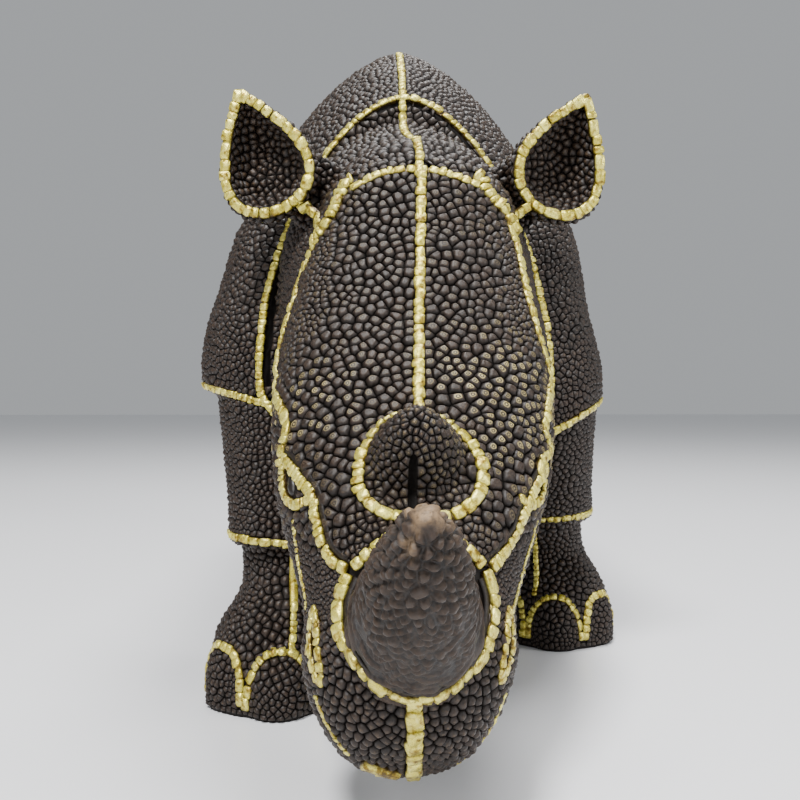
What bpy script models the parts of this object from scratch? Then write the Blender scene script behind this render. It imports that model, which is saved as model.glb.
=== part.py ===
import math

import bmesh
import bpy
import numpy as np

# Driving sizes in metres and degrees
STANDING_HEIGHT = 0.200
HEAD_PITCH = 58.0

# All other sizes are steps, and the standing height holds 220 of them
HUMP_TOP = 220.0
STEP = STANDING_HEIGHT / HUMP_TOP

# Trunk, in steps
LOIN_TOP = 203.0
RUMP_TOP = 207.0
BELLY_BOTTOM = 56.0
SHOULDER_HALF_WIDTH = 65.5
LOIN_HALF_WIDTH = 60.0
HIP_HALF_WIDTH = 61.0
COLLAR_Y = -84.0
COLLAR_TOP = 182.0
COLLAR_HALF_WIDTH = 43.0
RUMP_Y = 186.0
WIDEST_Z = 92.0
TRUNK_LEAN = 0.15

# Head, in steps
POLL_X = 2.6
POLL_Y = -112.0
POLL_Z = 147.5
HEAD_LENGTH = 144.0
HEAD_DRIFT = -5.9
CHEEK_HALF_WIDTH = 35.0
MUZZLE_HALF_WIDTH = 21.0
CHEEK_DEPTH = 66.0
MUZZLE_DEPTH = 44.0
PLATE_STEP = 1.6
EYE_ALONG = 0.63
EYE_RADIUS = 4.0

# Horns and ears, in steps
FRONT_HORN_LENGTH = 46.0
FRONT_HORN_RADIUS = 13.0
REAR_HORN_LENGTH = 15.0
REAR_HORN_RADIUS = 13.6
EAR_LENGTH = 38.0
EAR_WIDTH = 27.0
EAR_WALL = 3.2
EAR_CUP = 8.0
EAR_ROOT_RADIUS = 10.5

# Shoulder and hip plates, in steps
PLATE_TOP = 172.0
SHOULDER_SKIRT_Z = 84.0
SHOULDER_X = 36.0
SHOULDER_Y = -54.0
SHOULDER_PLATE_WIDTH = 59.0
SHOULDER_PLATE_DEPTH = 64.0
HIP_SKIRT_Z = 82.0
HIP_X = 33.0
HIP_Y = 122.0
HIP_PLATE_WIDTH = 58.0
HIP_PLATE_DEPTH = 76.0
SKIRT_DROP = 9.0
RIGHT_SKIRT_SLOPE = 0.28
LEFT_SKIRT_SLOPE = 0.50
HIP_SKIRT_SLOPE = 0.12

# Tail, in steps
TAIL_TOP = 182.0
TAIL_LENGTH = 100.0
TAIL_RADIUS = 4.8

# Legs, in steps
KNEE_Z = 45.0
ANKLE_Z = 32.0
CUFF_STEP = 3.2
KNEE_RADIUS = 17.0
KNEE_BEND = -2.0
HOCK_BEND = 5.0
UPPER_LEG_RADIUS = 21.0
THIGH_RADIUS = 23.0
ANKLE_RADIUS = 13.2
FOOT_RADIUS = 20.6
TOE_RADIUS = 8.6
TOE_SPREAD = 60.0
SOLE_DEPTH = 6.0
LEGS = (
    (-1, -38.0, -62.0, -37.5, -88.0, 7.0),
    (1, 42.0, -58.0, 56.5, -31.0, -11.0),
    (-1, -38.0, 128.0, -42.0, 146.0, 7.0),
    (1, 38.0, 118.0, 43.0, 98.0, -7.0),
)

# Mesh fineness
RING_POINTS = 64
VOXEL = 1.5
TRIANGLES = 9300


def smooth_rows(rows, per_gap):
    """Rows of station values, filled in with cubic curves through every row."""
    rows = np.array(rows, dtype=float)
    count = len(rows)
    slope = np.zeros_like(rows)
    for k in range(count):
        low = max(k - 1, 0)
        high = min(k + 1, count - 1)
        slope[k] = (rows[high] - rows[low]) / (rows[high, 0] - rows[low, 0])
    out = []
    for k in range(count - 1):
        span = rows[k + 1, 0] - rows[k, 0]
        for j in range(per_gap):
            t = j / per_gap
            a = 2 * t**3 - 3 * t**2 + 1
            b = t**3 - 2 * t**2 + t
            c = -2 * t**3 + 3 * t**2
            d = t**3 - t**2
            out.append(a * rows[k] + b * span * slope[k] + c * rows[k + 1] + d * span * slope[k + 1])
    out.append(rows[-1])
    return np.array(out)


def close_rings(rings):
    """A closed skin over a list of rings of equal count, each end closed by a fan."""
    count = len(rings[0])
    points = [tuple(p) for ring in rings for p in ring]
    faces = []
    for r in range(len(rings) - 1):
        for k in range(count):
            j = (k + 1) % count
            a = r * count
            b = a + count
            faces.append((a + k, a + j, b + j, b + k))
    points.append(tuple(np.mean(rings[0], axis=0)))
    points.append(tuple(np.mean(rings[-1], axis=0)))
    last = (len(rings) - 1) * count
    for k in range(count):
        j = (k + 1) % count
        faces.append((len(points) - 2, j, k))
        faces.append((len(points) - 1, last + k, last + j))
    return points, faces


def loft(rows, origin, along, side, up, lean=0.0, per_gap=5):
    """Skin through sections set square to one axis.

    Each row: place along the axis, side offset, up offset of the widest line, half width,
    reach up, reach down, and the two powers that shape the side and the upper and lower halves.
    """
    along = np.array(along, dtype=float)
    side = np.array(side, dtype=float)
    up = np.array(up, dtype=float)
    angles = np.arange(RING_POINTS) * 2 * math.pi / RING_POINTS
    rings = []
    for t, off, mid, wide, high, low, p, q in smooth_rows(rows, per_gap):
        c = np.cos(angles)
        s = np.sin(angles)
        x = off + wide * np.sign(c) * np.abs(c) ** (2 / p)
        reach = np.where(s > 0, high, low)
        h = mid + reach * np.sign(s) * np.abs(s) ** (2 / q)
        shift = t + lean * h
        ring = np.array(origin) + shift[:, None] * along + x[:, None] * side + h[:, None] * up
        rings.append(ring)
    return close_rings(rings)


def ball(centre, radii, turn=0.0, rows=12):
    """A closed ellipsoid with its own turn about the upright axis."""
    rings = []
    angles = np.arange(24) * 2 * math.pi / 24
    for k in range(1, rows):
        lat = math.pi * (k / rows - 0.5)
        x = radii[0] * math.cos(lat) * np.cos(angles)
        y = radii[1] * math.cos(lat) * np.sin(angles)
        z = np.full(len(angles), radii[2] * math.sin(lat))
        xx = x * math.cos(turn) - y * math.sin(turn)
        yy = x * math.sin(turn) + y * math.cos(turn)
        rings.append(np.array(centre) + np.stack([xx, yy, z], axis=1))
    return close_rings(rings)


def trunk():
    """The barrel from the collar to the rump, ridged along the back and leaning back as it rises."""
    w = SHOULDER_HALF_WIDTH
    z = WIDEST_Z
    low = z - BELLY_BOTTOM
    hump = HUMP_TOP - z
    rows = [
        (COLLAR_Y - 1, 0, z, COLLAR_HALF_WIDTH - 2, COLLAR_TOP - z - 3, low - 12, 1.7, 2.0),
        (COLLAR_Y, 0, z, COLLAR_HALF_WIDTH, COLLAR_TOP - z, low - 10, 1.7, 2.0),
        (COLLAR_Y + 14, 0, z, w * 0.81, hump - 23, low - 6, 1.6, 2.0),
        (COLLAR_Y + 33, 0, z, w * 0.95, hump - 8.5, low - 3, 1.55, 2.0),
        (COLLAR_Y + 52, 0, z, w * 0.97, hump - 0.5, low, 1.52, 2.0),
        (COLLAR_Y + 70, 0, z, w * 0.97, hump, low + 2, 1.52, 2.0),
        (22, 0, z + 3, LOIN_HALF_WIDTH, LOIN_TOP - z + 4, low + 8, 1.6, 2.1),
        (60, 0, z + 6, LOIN_HALF_WIDTH + 1, LOIN_TOP - z - 6, low + 10, 1.7, 2.1),
        (108, 0, z + 10, HIP_HALF_WIDTH, RUMP_TOP - z - 10, low + 6, 1.75, 2.1),
        (145, 0, z + 16, HIP_HALF_WIDTH * 0.86, RUMP_TOP - z - 29, low + 2, 1.9, 2.1),
        (168, 0, z + 24, HIP_HALF_WIDTH * 0.62, RUMP_TOP - z - 55, low - 6, 2.0, 2.1),
        (RUMP_Y - 8, 0, z + 30, HIP_HALF_WIDTH * 0.24, 20, 18, 2.0, 2.0),
    ]
    return loft(rows, (0, -TRUNK_LEAN * z, 0), (0, 1, 0), (1, 0, 0), (0, 0, 1), lean=TRUNK_LEAN)


def neck():
    """The neck between the collar and the back of the head."""
    rows = [
        (-40, 0, 124, 36, 52, 50, 2.0, 2.0),
        (-66, 0, 122, 38, 54, 54, 2.0, 2.0),
        (-84, 0, 118, 38, 47, 54, 2.0, 2.0),
        (-100, 1, 112, 34, 41, 52, 2.0, 2.0),
        (-114, 2, 106, 27, 30, 46, 2.0, 2.0),
        (-124, 2, 100, 14, 16, 24, 2.0, 2.0),
    ]
    return loft(rows, (0, 0, 0), (0, 1, 0), (1, 0, 0), (0, 0, 1))


def head_axes():
    """Directions of the lowered head: down its length and out of its face."""
    a = math.radians(HEAD_PITCH)
    return np.array((0, -math.cos(a), -math.sin(a))), np.array((0, -math.sin(a), math.cos(a)))


def head_point(along, side, out):
    """A place on the head from its share of length, side offset and height off the face."""
    down, face = head_axes()
    base = np.array((POLL_X + HEAD_DRIFT * along / HEAD_LENGTH, POLL_Y, POLL_Z))
    return base + down * along + np.array((side, 0, 0)) + face * out


def plate_edge(share):
    """Half width of the raised face plate at a share of the head's length."""
    places = (-0.03, 0.0, 0.20, 0.45, 0.60, 0.67, 0.72, 0.765, 0.79)
    widths = (0.0, 0.74, 0.80, 0.93, 0.90, 0.72, 0.56, 0.40, 0.0)
    return CHEEK_HALF_WIDTH * np.interp(share, places, widths)


def head():
    """The long head, flat in front, wide at the cheeks and square at the muzzle."""
    down, face = head_axes()
    n = HEAD_LENGTH
    c = CHEEK_HALF_WIDTH
    m = MUZZLE_HALF_WIDTH
    d = HEAD_DRIFT
    rows = [
        (-0.18 * n, -0.18 * d, -30, 0.45 * c, 16, 22, 2.2, 2.0),
        (-0.10 * n, -0.10 * d, -28, 0.70 * c, 25, 34, 2.4, 2.0),
        (0.0, 0, -24, 0.80 * c, 24, 0.62 * CHEEK_DEPTH, 2.6, 2.2),
        (0.15 * n, 0.15 * d, -24, 0.90 * c, 22, 0.68 * CHEEK_DEPTH, 2.7, 2.3),
        (0.32 * n, 0.32 * d, -23, 0.985 * c, 20.5, 0.70 * CHEEK_DEPTH, 2.7, 2.3),
        (0.48 * n, 0.48 * d, -21, 0.95 * c, 20.5, 0.66 * CHEEK_DEPTH, 2.6, 2.3),
        (0.60 * n, 0.60 * d, -20, 0.865 * c, 21.5, 0.60 * CHEEK_DEPTH, 2.5, 2.2),
        (0.70 * n, 0.70 * d, -19, 0.74 * c, 22.5, 0.75 * MUZZLE_DEPTH, 2.5, 2.2),
        (0.79 * n, 0.79 * d, -18, 1.03 * m, 22.5, 0.66 * MUZZLE_DEPTH, 2.4, 2.2),
        (0.87 * n, 0.87 * d, -18, m, 21, 0.60 * MUZZLE_DEPTH, 2.4, 2.2),
        (0.94 * n, 0.94 * d, -19, 0.80 * m, 17, 0.52 * MUZZLE_DEPTH, 2.4, 2.2),
        (0.985 * n, 0.985 * d, -21, 0.50 * m, 10, 0.38 * MUZZLE_DEPTH, 2.3, 2.1),
        (n, d, -23, 0.16 * m, 3, 4, 2.0, 2.0),
    ]
    origin = np.array((POLL_X, POLL_Y, POLL_Z))
    points, faces = loft(rows, origin, down, (1, 0, 0), face, per_gap=8)
    places = np.array(points) - origin
    share = places @ down / n
    out = places @ face
    aside = np.abs(places[:, 0] - d * share)
    raised = np.clip((plate_edge(share) - aside) / 2.0 + 0.5, 0, 1) * (out > -22)
    points = np.array(points) + PLATE_STEP * raised[:, None] * face
    return [tuple(p) for p in points], faces


def horn(along, length, radius, forward, bend, power):
    """A blunt horn on the face that leans to the muzzle at its foot and bends back to the brow."""
    down, face = head_axes()
    rings = []
    angles = np.arange(32) * 2 * math.pi / 32
    for k in range(21):
        t = 1 - (1 - k / 20) ** 1.6
        r = radius * ((1 - t) ** power + 0.12 * max(0.0, 1 - 4 * t) ** 2)
        r = max(r, 0.02 * radius)
        centre = head_point(along, 0, -5) + face * (length + 5) * t + down * (forward * t - bend * t * t)
        slope = (forward - 2 * bend * t) / (length + 5)
        across = (down - face * slope) / math.sqrt(1 + slope * slope)
        egg = 1.0 + 0.10 * (1 - t)
        way = r * np.cos(angles)[:, None] * np.array((1, 0, 0)) + egg * r * np.sin(angles)[:, None] * across
        rings.append(centre + way)
    return close_rings(rings)


def ear(side):
    """A funnel ear: a round root, a cupped leaf that faces forward and a thick rim."""
    root = np.array((POLL_X + side * 20.0, POLL_Y + 18.0, POLL_Z - 9.0))
    cup = np.array((1.5 + side * 43.0, POLL_Y + 12.0, POLL_Z + 8.0))
    lean = math.radians(20.0) * side
    long_way = np.array((math.sin(lean), 0.06, math.cos(lean)))
    long_way /= np.linalg.norm(long_way)
    facing = np.array((side * 0.24, -1.0, 0.06))
    facing -= long_way * facing.dot(long_way)
    facing /= np.linalg.norm(facing)
    across = np.cross(long_way, facing)
    angles = np.arange(48) * 2 * math.pi / 48

    def leaf(scale, depth, inset=0.0):
        u = (EAR_LENGTH / 2 * scale - inset) * np.cos(angles)
        v = (EAR_WIDTH / 2 * scale - inset) * np.sin(angles) * np.sin(angles / 2) ** 1.2 / 0.73
        return cup + u[:, None] * long_way + v[:, None] * across + facing * depth

    stalk = cup - facing * 10 - root
    tube = []
    for k in range(7):
        t = k / 6
        ring = np.cos(angles)[:, None] * long_way + np.sin(angles)[:, None] * across
        ring -= (ring @ stalk)[:, None] * stalk / stalk.dot(stalk)
        ring /= np.linalg.norm(ring, axis=1)[:, None]
        tube.append(root + stalk * (1.15 * t - 0.15) + (EAR_ROOT_RADIUS - 1.5 * t) * ring)
    bowl = [
        leaf(0.30, -13.5),
        leaf(0.60, -12.0),
        leaf(0.84, -8.5),
        leaf(0.98, -4.0),
        leaf(1.02, -1.0),
        leaf(1.0, 0.8),
        leaf(1.0, 0.4, EAR_WALL * 0.8),
        leaf(1.0, -2.0, EAR_WALL),
        leaf(0.60, -EAR_CUP * 0.75),
        leaf(0.25, -EAR_CUP),
    ]
    return [close_rings(tube), close_rings(bowl)]


def leg(side, top_x, top_y, foot_x, foot_y, turn, hind):
    """One leg in three lengths, each tucked under the cuff above it."""
    x_way = (1, 0, 0)
    y_way = (0, 1, 0)
    z_way = (0, 0, 1)
    k = KNEE_RADIUS
    a = ANKLE_RADIUS
    f = FOOT_RADIUS
    skirt = HIP_SKIRT_Z if hind else SHOULDER_SKIRT_Z
    ankle_x = foot_x - side * 2.5
    ankle_y = foot_y + 4

    def axis(z):
        share = (z - ANKLE_Z) / (skirt - ANKLE_Z)
        bend = HOCK_BEND if hind else KNEE_BEND
        bulge = bend * math.exp(-(((z - KNEE_Z - 6) / 17) ** 2))
        return ankle_x + (top_x - ankle_x) * share, ankle_y + (top_y - ankle_y) * share + bulge

    lower = [
        (-SOLE_DEPTH, foot_x, foot_y, f * 0.97, f * 0.94, f * 0.97, 2.2, 2.2),
        (3, foot_x, foot_y, f, f * 0.96, f, 2.2, 2.2),
        (12, foot_x, foot_y, f * 0.95, f * 0.93, f * 0.95, 2.2, 2.2),
        (21, foot_x, foot_y + 1, f * 0.81, f * 0.86, f * 0.84, 2.1, 2.1),
        (ANKLE_Z - 2, *axis(ANKLE_Z - 2), a * 1.06, a * 1.2, a * 1.1, 2.0, 2.0),
        (ANKLE_Z + 6, *axis(ANKLE_Z + 6), a, a * 1.12, a * 1.02, 2.0, 2.0),
        (KNEE_Z + 6, *axis(KNEE_Z + 6), k - CUFF_STEP, k * 1.1 - CUFF_STEP, k * 1.05 - CUFF_STEP, 2.0, 2.0),
        (KNEE_Z + 16, *axis(KNEE_Z + 16), k - CUFF_STEP - 2, k - 2, k - 2, 2.0, 2.0),
    ]
    wide = THIGH_RADIUS if hind else UPPER_LEG_RADIUS
    middle = [
        (KNEE_Z - 1, *axis(KNEE_Z - 1), k - 1.4, k * 1.1 - 1.4, k * 1.05 - 1.4, 2.1, 2.1),
        (KNEE_Z, *axis(KNEE_Z), k, k * 1.1, k * 1.05, 2.1, 2.1),
        (KNEE_Z + 12, *axis(KNEE_Z + 12), k + 0.8, k * 1.15, k * 1.12, 2.1, 2.1),
        (skirt - 12, *axis(skirt - 12), wide * 0.94, wide * 1.08, wide * 1.08, 2.1, 2.1),
        (skirt + 6, top_x, top_y, wide, wide * 1.2, wide * 1.2, 2.1, 2.1),
        (skirt + 20, top_x, top_y, wide * 0.8, wide, wide, 2.1, 2.1),
    ]
    out = [loft(lower, (0, 0, 0), z_way, x_way, y_way), loft(middle, (0, 0, 0), z_way, x_way, y_way)]
    for toe in (-1, 0, 1):
        around = math.radians(-90 + TOE_SPREAD * toe + turn)
        reach = f - TOE_RADIUS * 0.62
        centre = (foot_x + reach * math.cos(around), foot_y + reach * math.sin(around), 5.0)
        size = TOE_RADIUS * (1.08 if toe == 0 else 0.88)
        out.append(ball(centre, (size * 0.95, size, 15.0), around))
    return out


def plate(place, base, size, tuck, reach, slope):
    """A shoulder or hip plate that ends below in a straight skirt and leans in toward its top."""
    x, y = place
    wide, deep = size
    top = PLATE_TOP
    rows = [
        (base, x, y, wide - 2.0, deep - 2, deep - 2, 2.2, 2.2),
        (base + 1.2, x, y, wide, deep, deep, 2.2, 2.2),
        (base + 16, x, y, wide, deep * 1.02, deep * 1.02, 2.2, 2.2),
        (base + 38, x - 0.4 * tuck, y + 3, wide * 0.98, deep, deep, 2.1, 2.1),
        (top - 22, x - tuck, y + reach * 0.6, wide * 0.88, deep * 0.85, deep * 0.85, 2.0, 2.0),
        (top, x - 1.8 * tuck, y + reach, wide * 0.3, deep * 0.35, deep * 0.35, 2.0, 2.0),
    ]
    points, faces = loft(rows, (0, 0, 0), (0, 0, 1), (1, 0, 0), (0, 1, 0))
    return [(px, py, pz + skirt_rise(px, x, pz - base, slope)) for px, py, pz in points], faces


def skirt_rise(px, x, above, slope):
    """How far a skirt's edge rises at its outer side; the rise fades out up the plate."""
    outward = (px - x) * math.copysign(1.0, x)
    return slope * (max(outward, 0.0) - 8.0) * max(0.0, 1.0 - max(above, 0.0) / 40.0)


def tail():
    """A thin tail that lies on the rump, with a flat tuft."""
    rings = []
    angles = np.arange(16) * 2 * math.pi / 16
    for k in range(17):
        t = k / 16
        y = RUMP_Y - 10 + 13 * math.sin(min(1.0, t * 1.5) * math.pi / 2) - 4 * t
        z = TAIL_TOP - TAIL_LENGTH * t
        r = TAIL_RADIUS - 1.8 * t + 2.6 * math.exp(-(((t - 0.86) / 0.08) ** 2))
        r *= math.sqrt(max(0.04, 1 - max(0.0, (t - 0.93) / 0.07) ** 2))
        rings.append(np.stack([r * np.cos(angles), y + r * np.sin(angles), np.full(16, z)], axis=1))
    return close_rings(rings[::-1])


def forms():
    """Every form of the figure, as closed skins in steps."""
    out = [trunk(), neck(), head()]
    out.append(horn(0.84 * HEAD_LENGTH, FRONT_HORN_LENGTH, FRONT_HORN_RADIUS, 8.0, 9.0, 0.5))
    out.append(horn(0.61 * HEAD_LENGTH, REAR_HORN_LENGTH, REAR_HORN_RADIUS, 1.0, 5.0, 0.6))
    for side in (-1, 1):
        out.extend(ear(side))
        drop = SKIRT_DROP if side > 0 else 0.0
        tuck = 6.0 if side > 0 else 10.0
        slope = LEFT_SKIRT_SLOPE if side > 0 else RIGHT_SKIRT_SLOPE
        base = SHOULDER_SKIRT_Z - drop
        size = (SHOULDER_PLATE_WIDTH / 2, SHOULDER_PLATE_DEPTH / 2)
        out.append(plate((side * SHOULDER_X, SHOULDER_Y), base, size, side * tuck, 16, slope))
        size = (HIP_PLATE_WIDTH / 2, HIP_PLATE_DEPTH / 2)
        out.append(plate((side * HIP_X, HIP_Y), HIP_SKIRT_Z, size, side * 10, -4, HIP_SKIRT_SLOPE))
        eye = head_point(EYE_ALONG * HEAD_LENGTH, side * CHEEK_HALF_WIDTH * 0.79, -9)
        out.append(ball(eye, (EYE_RADIUS, EYE_RADIUS, 1.2 * EYE_RADIUS)))
    for k, row in enumerate(LEGS):
        out.extend(leg(*row, hind=k > 1))
    out.append(tail())
    return out


def join(parts):
    points = []
    faces = []
    for verts, polys in parts:
        base = len(points)
        points.extend((x * STEP, y * STEP, z * STEP) for x, y, z in verts)
        faces.extend(tuple(base + i for i in poly) for poly in polys)
    mesh = bpy.data.meshes.new("forms")
    mesh.from_pydata(points, [], faces)
    return mesh


def evaluated(obj):
    graph = bpy.context.evaluated_depsgraph_get()
    graph.update()
    return bpy.data.meshes.new_from_object(obj.evaluated_get(graph))


for old in list(bpy.data.objects):
    bpy.data.objects.remove(old, do_unlink=True)

figure = bpy.data.objects.new("rhinoceros", join(forms()))
bpy.context.scene.collection.objects.link(figure)
bm = bmesh.new()
bm.from_mesh(figure.data)
bmesh.ops.recalc_face_normals(bm, faces=bm.faces)
bm.to_mesh(figure.data)
bm.free()

remesh = figure.modifiers.new("cast", "REMESH")
remesh.mode = "VOXEL"
remesh.voxel_size = VOXEL * STEP
soften = figure.modifiers.new("soften", "SMOOTH")
soften.factor = 0.5
soften.iterations = 2
dense = evaluated(figure)
figure.modifiers.clear()
figure.data = dense
count = sum(len(p.vertices) - 2 for p in dense.polygons)
thin = figure.modifiers.new("thin", "DECIMATE")
thin.ratio = TRIANGLES / count
light = evaluated(figure)
figure.modifiers.clear()
figure.data = light

bm = bmesh.new()
bm.from_mesh(light)
cut = bmesh.ops.bisect_plane(
    bm,
    geom=bm.verts[:] + bm.edges[:] + bm.faces[:],
    dist=1e-7,
    plane_co=(0, 0, 0),
    plane_no=(0, 0, -1),
    clear_outer=True,
)
rim = [e for e in cut["geom_cut"] if isinstance(e, bmesh.types.BMEdge)]
bmesh.ops.triangle_fill(bm, edges=rim, use_beauty=True, normal=(0, 0, -1))
xs = [v.co.x for v in bm.verts]
ys = [v.co.y for v in bm.verts]
middle = ((min(xs) + max(xs)) / 2, (min(ys) + max(ys)) / 2, 0.0)
bmesh.ops.translate(bm, verts=bm.verts, vec=(-middle[0], -middle[1], 0.0))
bmesh.ops.triangulate(bm, faces=bm.faces[:])
bm.to_mesh(light)
bm.free()

resin = bpy.data.materials.new("dark_resin")
resin.use_nodes = True
shader = resin.node_tree.nodes["Principled BSDF"]
shader.inputs["Base Color"].default_value = (0.045, 0.033, 0.027, 1.0)
shader.inputs["Roughness"].default_value = 0.55
shader.inputs["Metallic"].default_value = 0.0
figure.data.materials.append(resin)
for poly in figure.data.polygons:
    poly.use_smooth = True
figure.data.set_sharp_from_angle(angle=math.radians(40))
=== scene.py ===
import math

import bmesh
import bpy
import numpy as np
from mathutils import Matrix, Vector
from mathutils.bvhtree import BVHTree
from mathutils.kdtree import KDTree


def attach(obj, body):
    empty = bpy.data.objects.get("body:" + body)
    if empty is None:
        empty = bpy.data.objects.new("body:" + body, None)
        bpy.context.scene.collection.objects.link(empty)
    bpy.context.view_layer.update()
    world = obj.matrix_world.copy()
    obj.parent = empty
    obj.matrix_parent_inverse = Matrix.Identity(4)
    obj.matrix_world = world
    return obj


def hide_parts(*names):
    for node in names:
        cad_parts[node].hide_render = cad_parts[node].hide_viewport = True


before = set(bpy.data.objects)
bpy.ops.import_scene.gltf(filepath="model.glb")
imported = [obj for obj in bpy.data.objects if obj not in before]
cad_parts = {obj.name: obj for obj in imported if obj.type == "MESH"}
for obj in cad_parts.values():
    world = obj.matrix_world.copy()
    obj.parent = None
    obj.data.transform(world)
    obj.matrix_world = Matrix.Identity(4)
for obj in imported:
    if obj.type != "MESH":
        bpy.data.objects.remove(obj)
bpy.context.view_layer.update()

# Sizes of the solid, in steps of its standing height
STEP = 0.200 / 220.0
HEAD_PITCH = 58.0
HUMP_TOP = 220.0
LOIN_TOP = 203.0
RUMP_TOP = 207.0
BELLY_BOTTOM = 56.0
SHOULDER_HALF_WIDTH = 65.5
LOIN_HALF_WIDTH = 60.0
HIP_HALF_WIDTH = 61.0
COLLAR_Y = -84.0
COLLAR_TOP = 182.0
COLLAR_HALF_WIDTH = 43.0
RUMP_Y = 186.0
WIDEST_Z = 92.0
TRUNK_LEAN = 0.15
POLL_X = 2.6
POLL_Y = -112.0
POLL_Z = 147.5
HEAD_LENGTH = 144.0
HEAD_DRIFT = -5.9
CHEEK_HALF_WIDTH = 35.0
MUZZLE_HALF_WIDTH = 21.0
CHEEK_DEPTH = 66.0
MUZZLE_DEPTH = 44.0
PLATE_STEP = 1.6
EYE_ALONG = 0.63
EYE_RADIUS = 4.0
FRONT_HORN_LENGTH = 46.0
FRONT_HORN_RADIUS = 13.0
REAR_HORN_LENGTH = 15.0
REAR_HORN_RADIUS = 13.6
EAR_LENGTH = 38.0
EAR_WIDTH = 27.0
EAR_WALL = 3.2
EAR_CUP = 8.0
EAR_ROOT_RADIUS = 10.5
PLATE_TOP = 172.0
SHOULDER_SKIRT_Z = 84.0
SHOULDER_X = 36.0
SHOULDER_Y = -54.0
SHOULDER_PLATE_WIDTH = 59.0
SHOULDER_PLATE_DEPTH = 64.0
HIP_SKIRT_Z = 82.0
HIP_X = 33.0
HIP_Y = 122.0
HIP_PLATE_WIDTH = 58.0
HIP_PLATE_DEPTH = 76.0
SKIRT_DROP = 9.0
RIGHT_SKIRT_SLOPE = 0.28
LEFT_SKIRT_SLOPE = 0.50
HIP_SKIRT_SLOPE = 0.12
TAIL_TOP = 182.0
TAIL_LENGTH = 100.0
TAIL_RADIUS = 4.8
KNEE_Z = 45.0
ANKLE_Z = 32.0
CUFF_STEP = 3.2
KNEE_RADIUS = 17.0
KNEE_BEND = -2.0
HOCK_BEND = 5.0
UPPER_LEG_RADIUS = 21.0
THIGH_RADIUS = 23.0
ANKLE_RADIUS = 13.2
FOOT_RADIUS = 20.6
TOE_RADIUS = 8.6
TOE_SPREAD = 60.0
SOLE_DEPTH = 6.0
LEGS = (
    (-1, -38.0, -62.0, -37.5, -88.0, 7.0),
    (1, 42.0, -58.0, 56.5, -31.0, -11.0),
    (-1, -38.0, 128.0, -42.0, 146.0, 7.0),
    (1, 38.0, 118.0, 43.0, 98.0, -7.0),
)
RING_POINTS = 64
POLL = np.array((POLL_X, POLL_Y, POLL_Z))

# Fineness of the skin and of the relief, in steps
SKIN = 0.70
CREVICE = -0.20
RNG = np.random.default_rng(71)


# Forms of the solid


X_WAY, Y_WAY, Z_WAY = np.eye(3)
ORIGIN = np.zeros(3)


def turns(count):
    """Angles at an even pace once round."""
    return np.arange(count) * 2 * math.pi / count


def bowed(value, power):
    """A sine or cosine to a power, with its sign kept, for sections between a disc and a box."""
    return np.sign(value) * np.abs(value) ** power


def smooth_rows(rows, per_gap):
    """Rows of station values, filled in with cubic curves through every row."""
    rows = np.array(rows, dtype=float)
    count = len(rows)
    slope = np.zeros_like(rows)
    for k in range(count):
        low = max(k - 1, 0)
        high = min(k + 1, count - 1)
        slope[k] = (rows[high] - rows[low]) / (rows[high, 0] - rows[low, 0])
    out = []
    for k in range(count - 1):
        span = rows[k + 1, 0] - rows[k, 0]
        for j in range(per_gap):
            t = j / per_gap
            a = 2 * t**3 - 3 * t**2 + 1
            b = t**3 - 2 * t**2 + t
            c = -2 * t**3 + 3 * t**2
            d = t**3 - t**2
            out.append(a * rows[k] + b * span * slope[k] + c * rows[k + 1] + d * span * slope[k + 1])
    out.append(rows[-1])
    return np.array(out)


def close_rings(rings):
    """A closed skin over a list of rings of equal count, each end closed by a fan."""
    count = len(rings[0])
    points = [tuple(p) for ring in rings for p in ring]
    faces = []
    for r in range(len(rings) - 1):
        for k in range(count):
            j = (k + 1) % count
            a = r * count
            b = a + count
            faces.append((a + k, a + j, b + j, b + k))
    points.append(tuple(np.mean(rings[0], axis=0)))
    points.append(tuple(np.mean(rings[-1], axis=0)))
    last = (len(rings) - 1) * count
    for k in range(count):
        j = (k + 1) % count
        faces.append((len(points) - 2, j, k))
        faces.append((len(points) - 1, last + k, last + j))
    return points, faces


def loft(rows, origin, along, side, up, lean=0.0, per_gap=5):
    """Skin through sections set square to one axis."""
    c = np.cos(turns(RING_POINTS))
    s = np.sin(turns(RING_POINTS))
    rings = []
    for t, off, mid, wide, high, low, p, q in smooth_rows(rows, per_gap):
        x = off + wide * bowed(c, 2 / p)
        h = mid + np.where(s > 0, high, low) * bowed(s, 2 / q)
        shift = t + lean * h
        rings.append(origin + shift[:, None] * along + x[:, None] * side + h[:, None] * up)
    return close_rings(rings)


def ball(centre, radii, turn=0.0, rows=12, around=24):
    """A closed ellipsoid with its own turn about the upright axis."""
    rings = []
    angles = turns(around)
    for k in range(1, rows):
        lat = math.pi * (k / rows - 0.5)
        x = radii[0] * math.cos(lat) * np.cos(angles)
        y = radii[1] * math.cos(lat) * np.sin(angles)
        z = np.full(len(angles), radii[2] * math.sin(lat))
        xx = x * math.cos(turn) - y * math.sin(turn)
        yy = x * math.sin(turn) + y * math.cos(turn)
        rings.append(np.array(centre) + np.stack([xx, yy, z], axis=1))
    return close_rings(rings)


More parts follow.
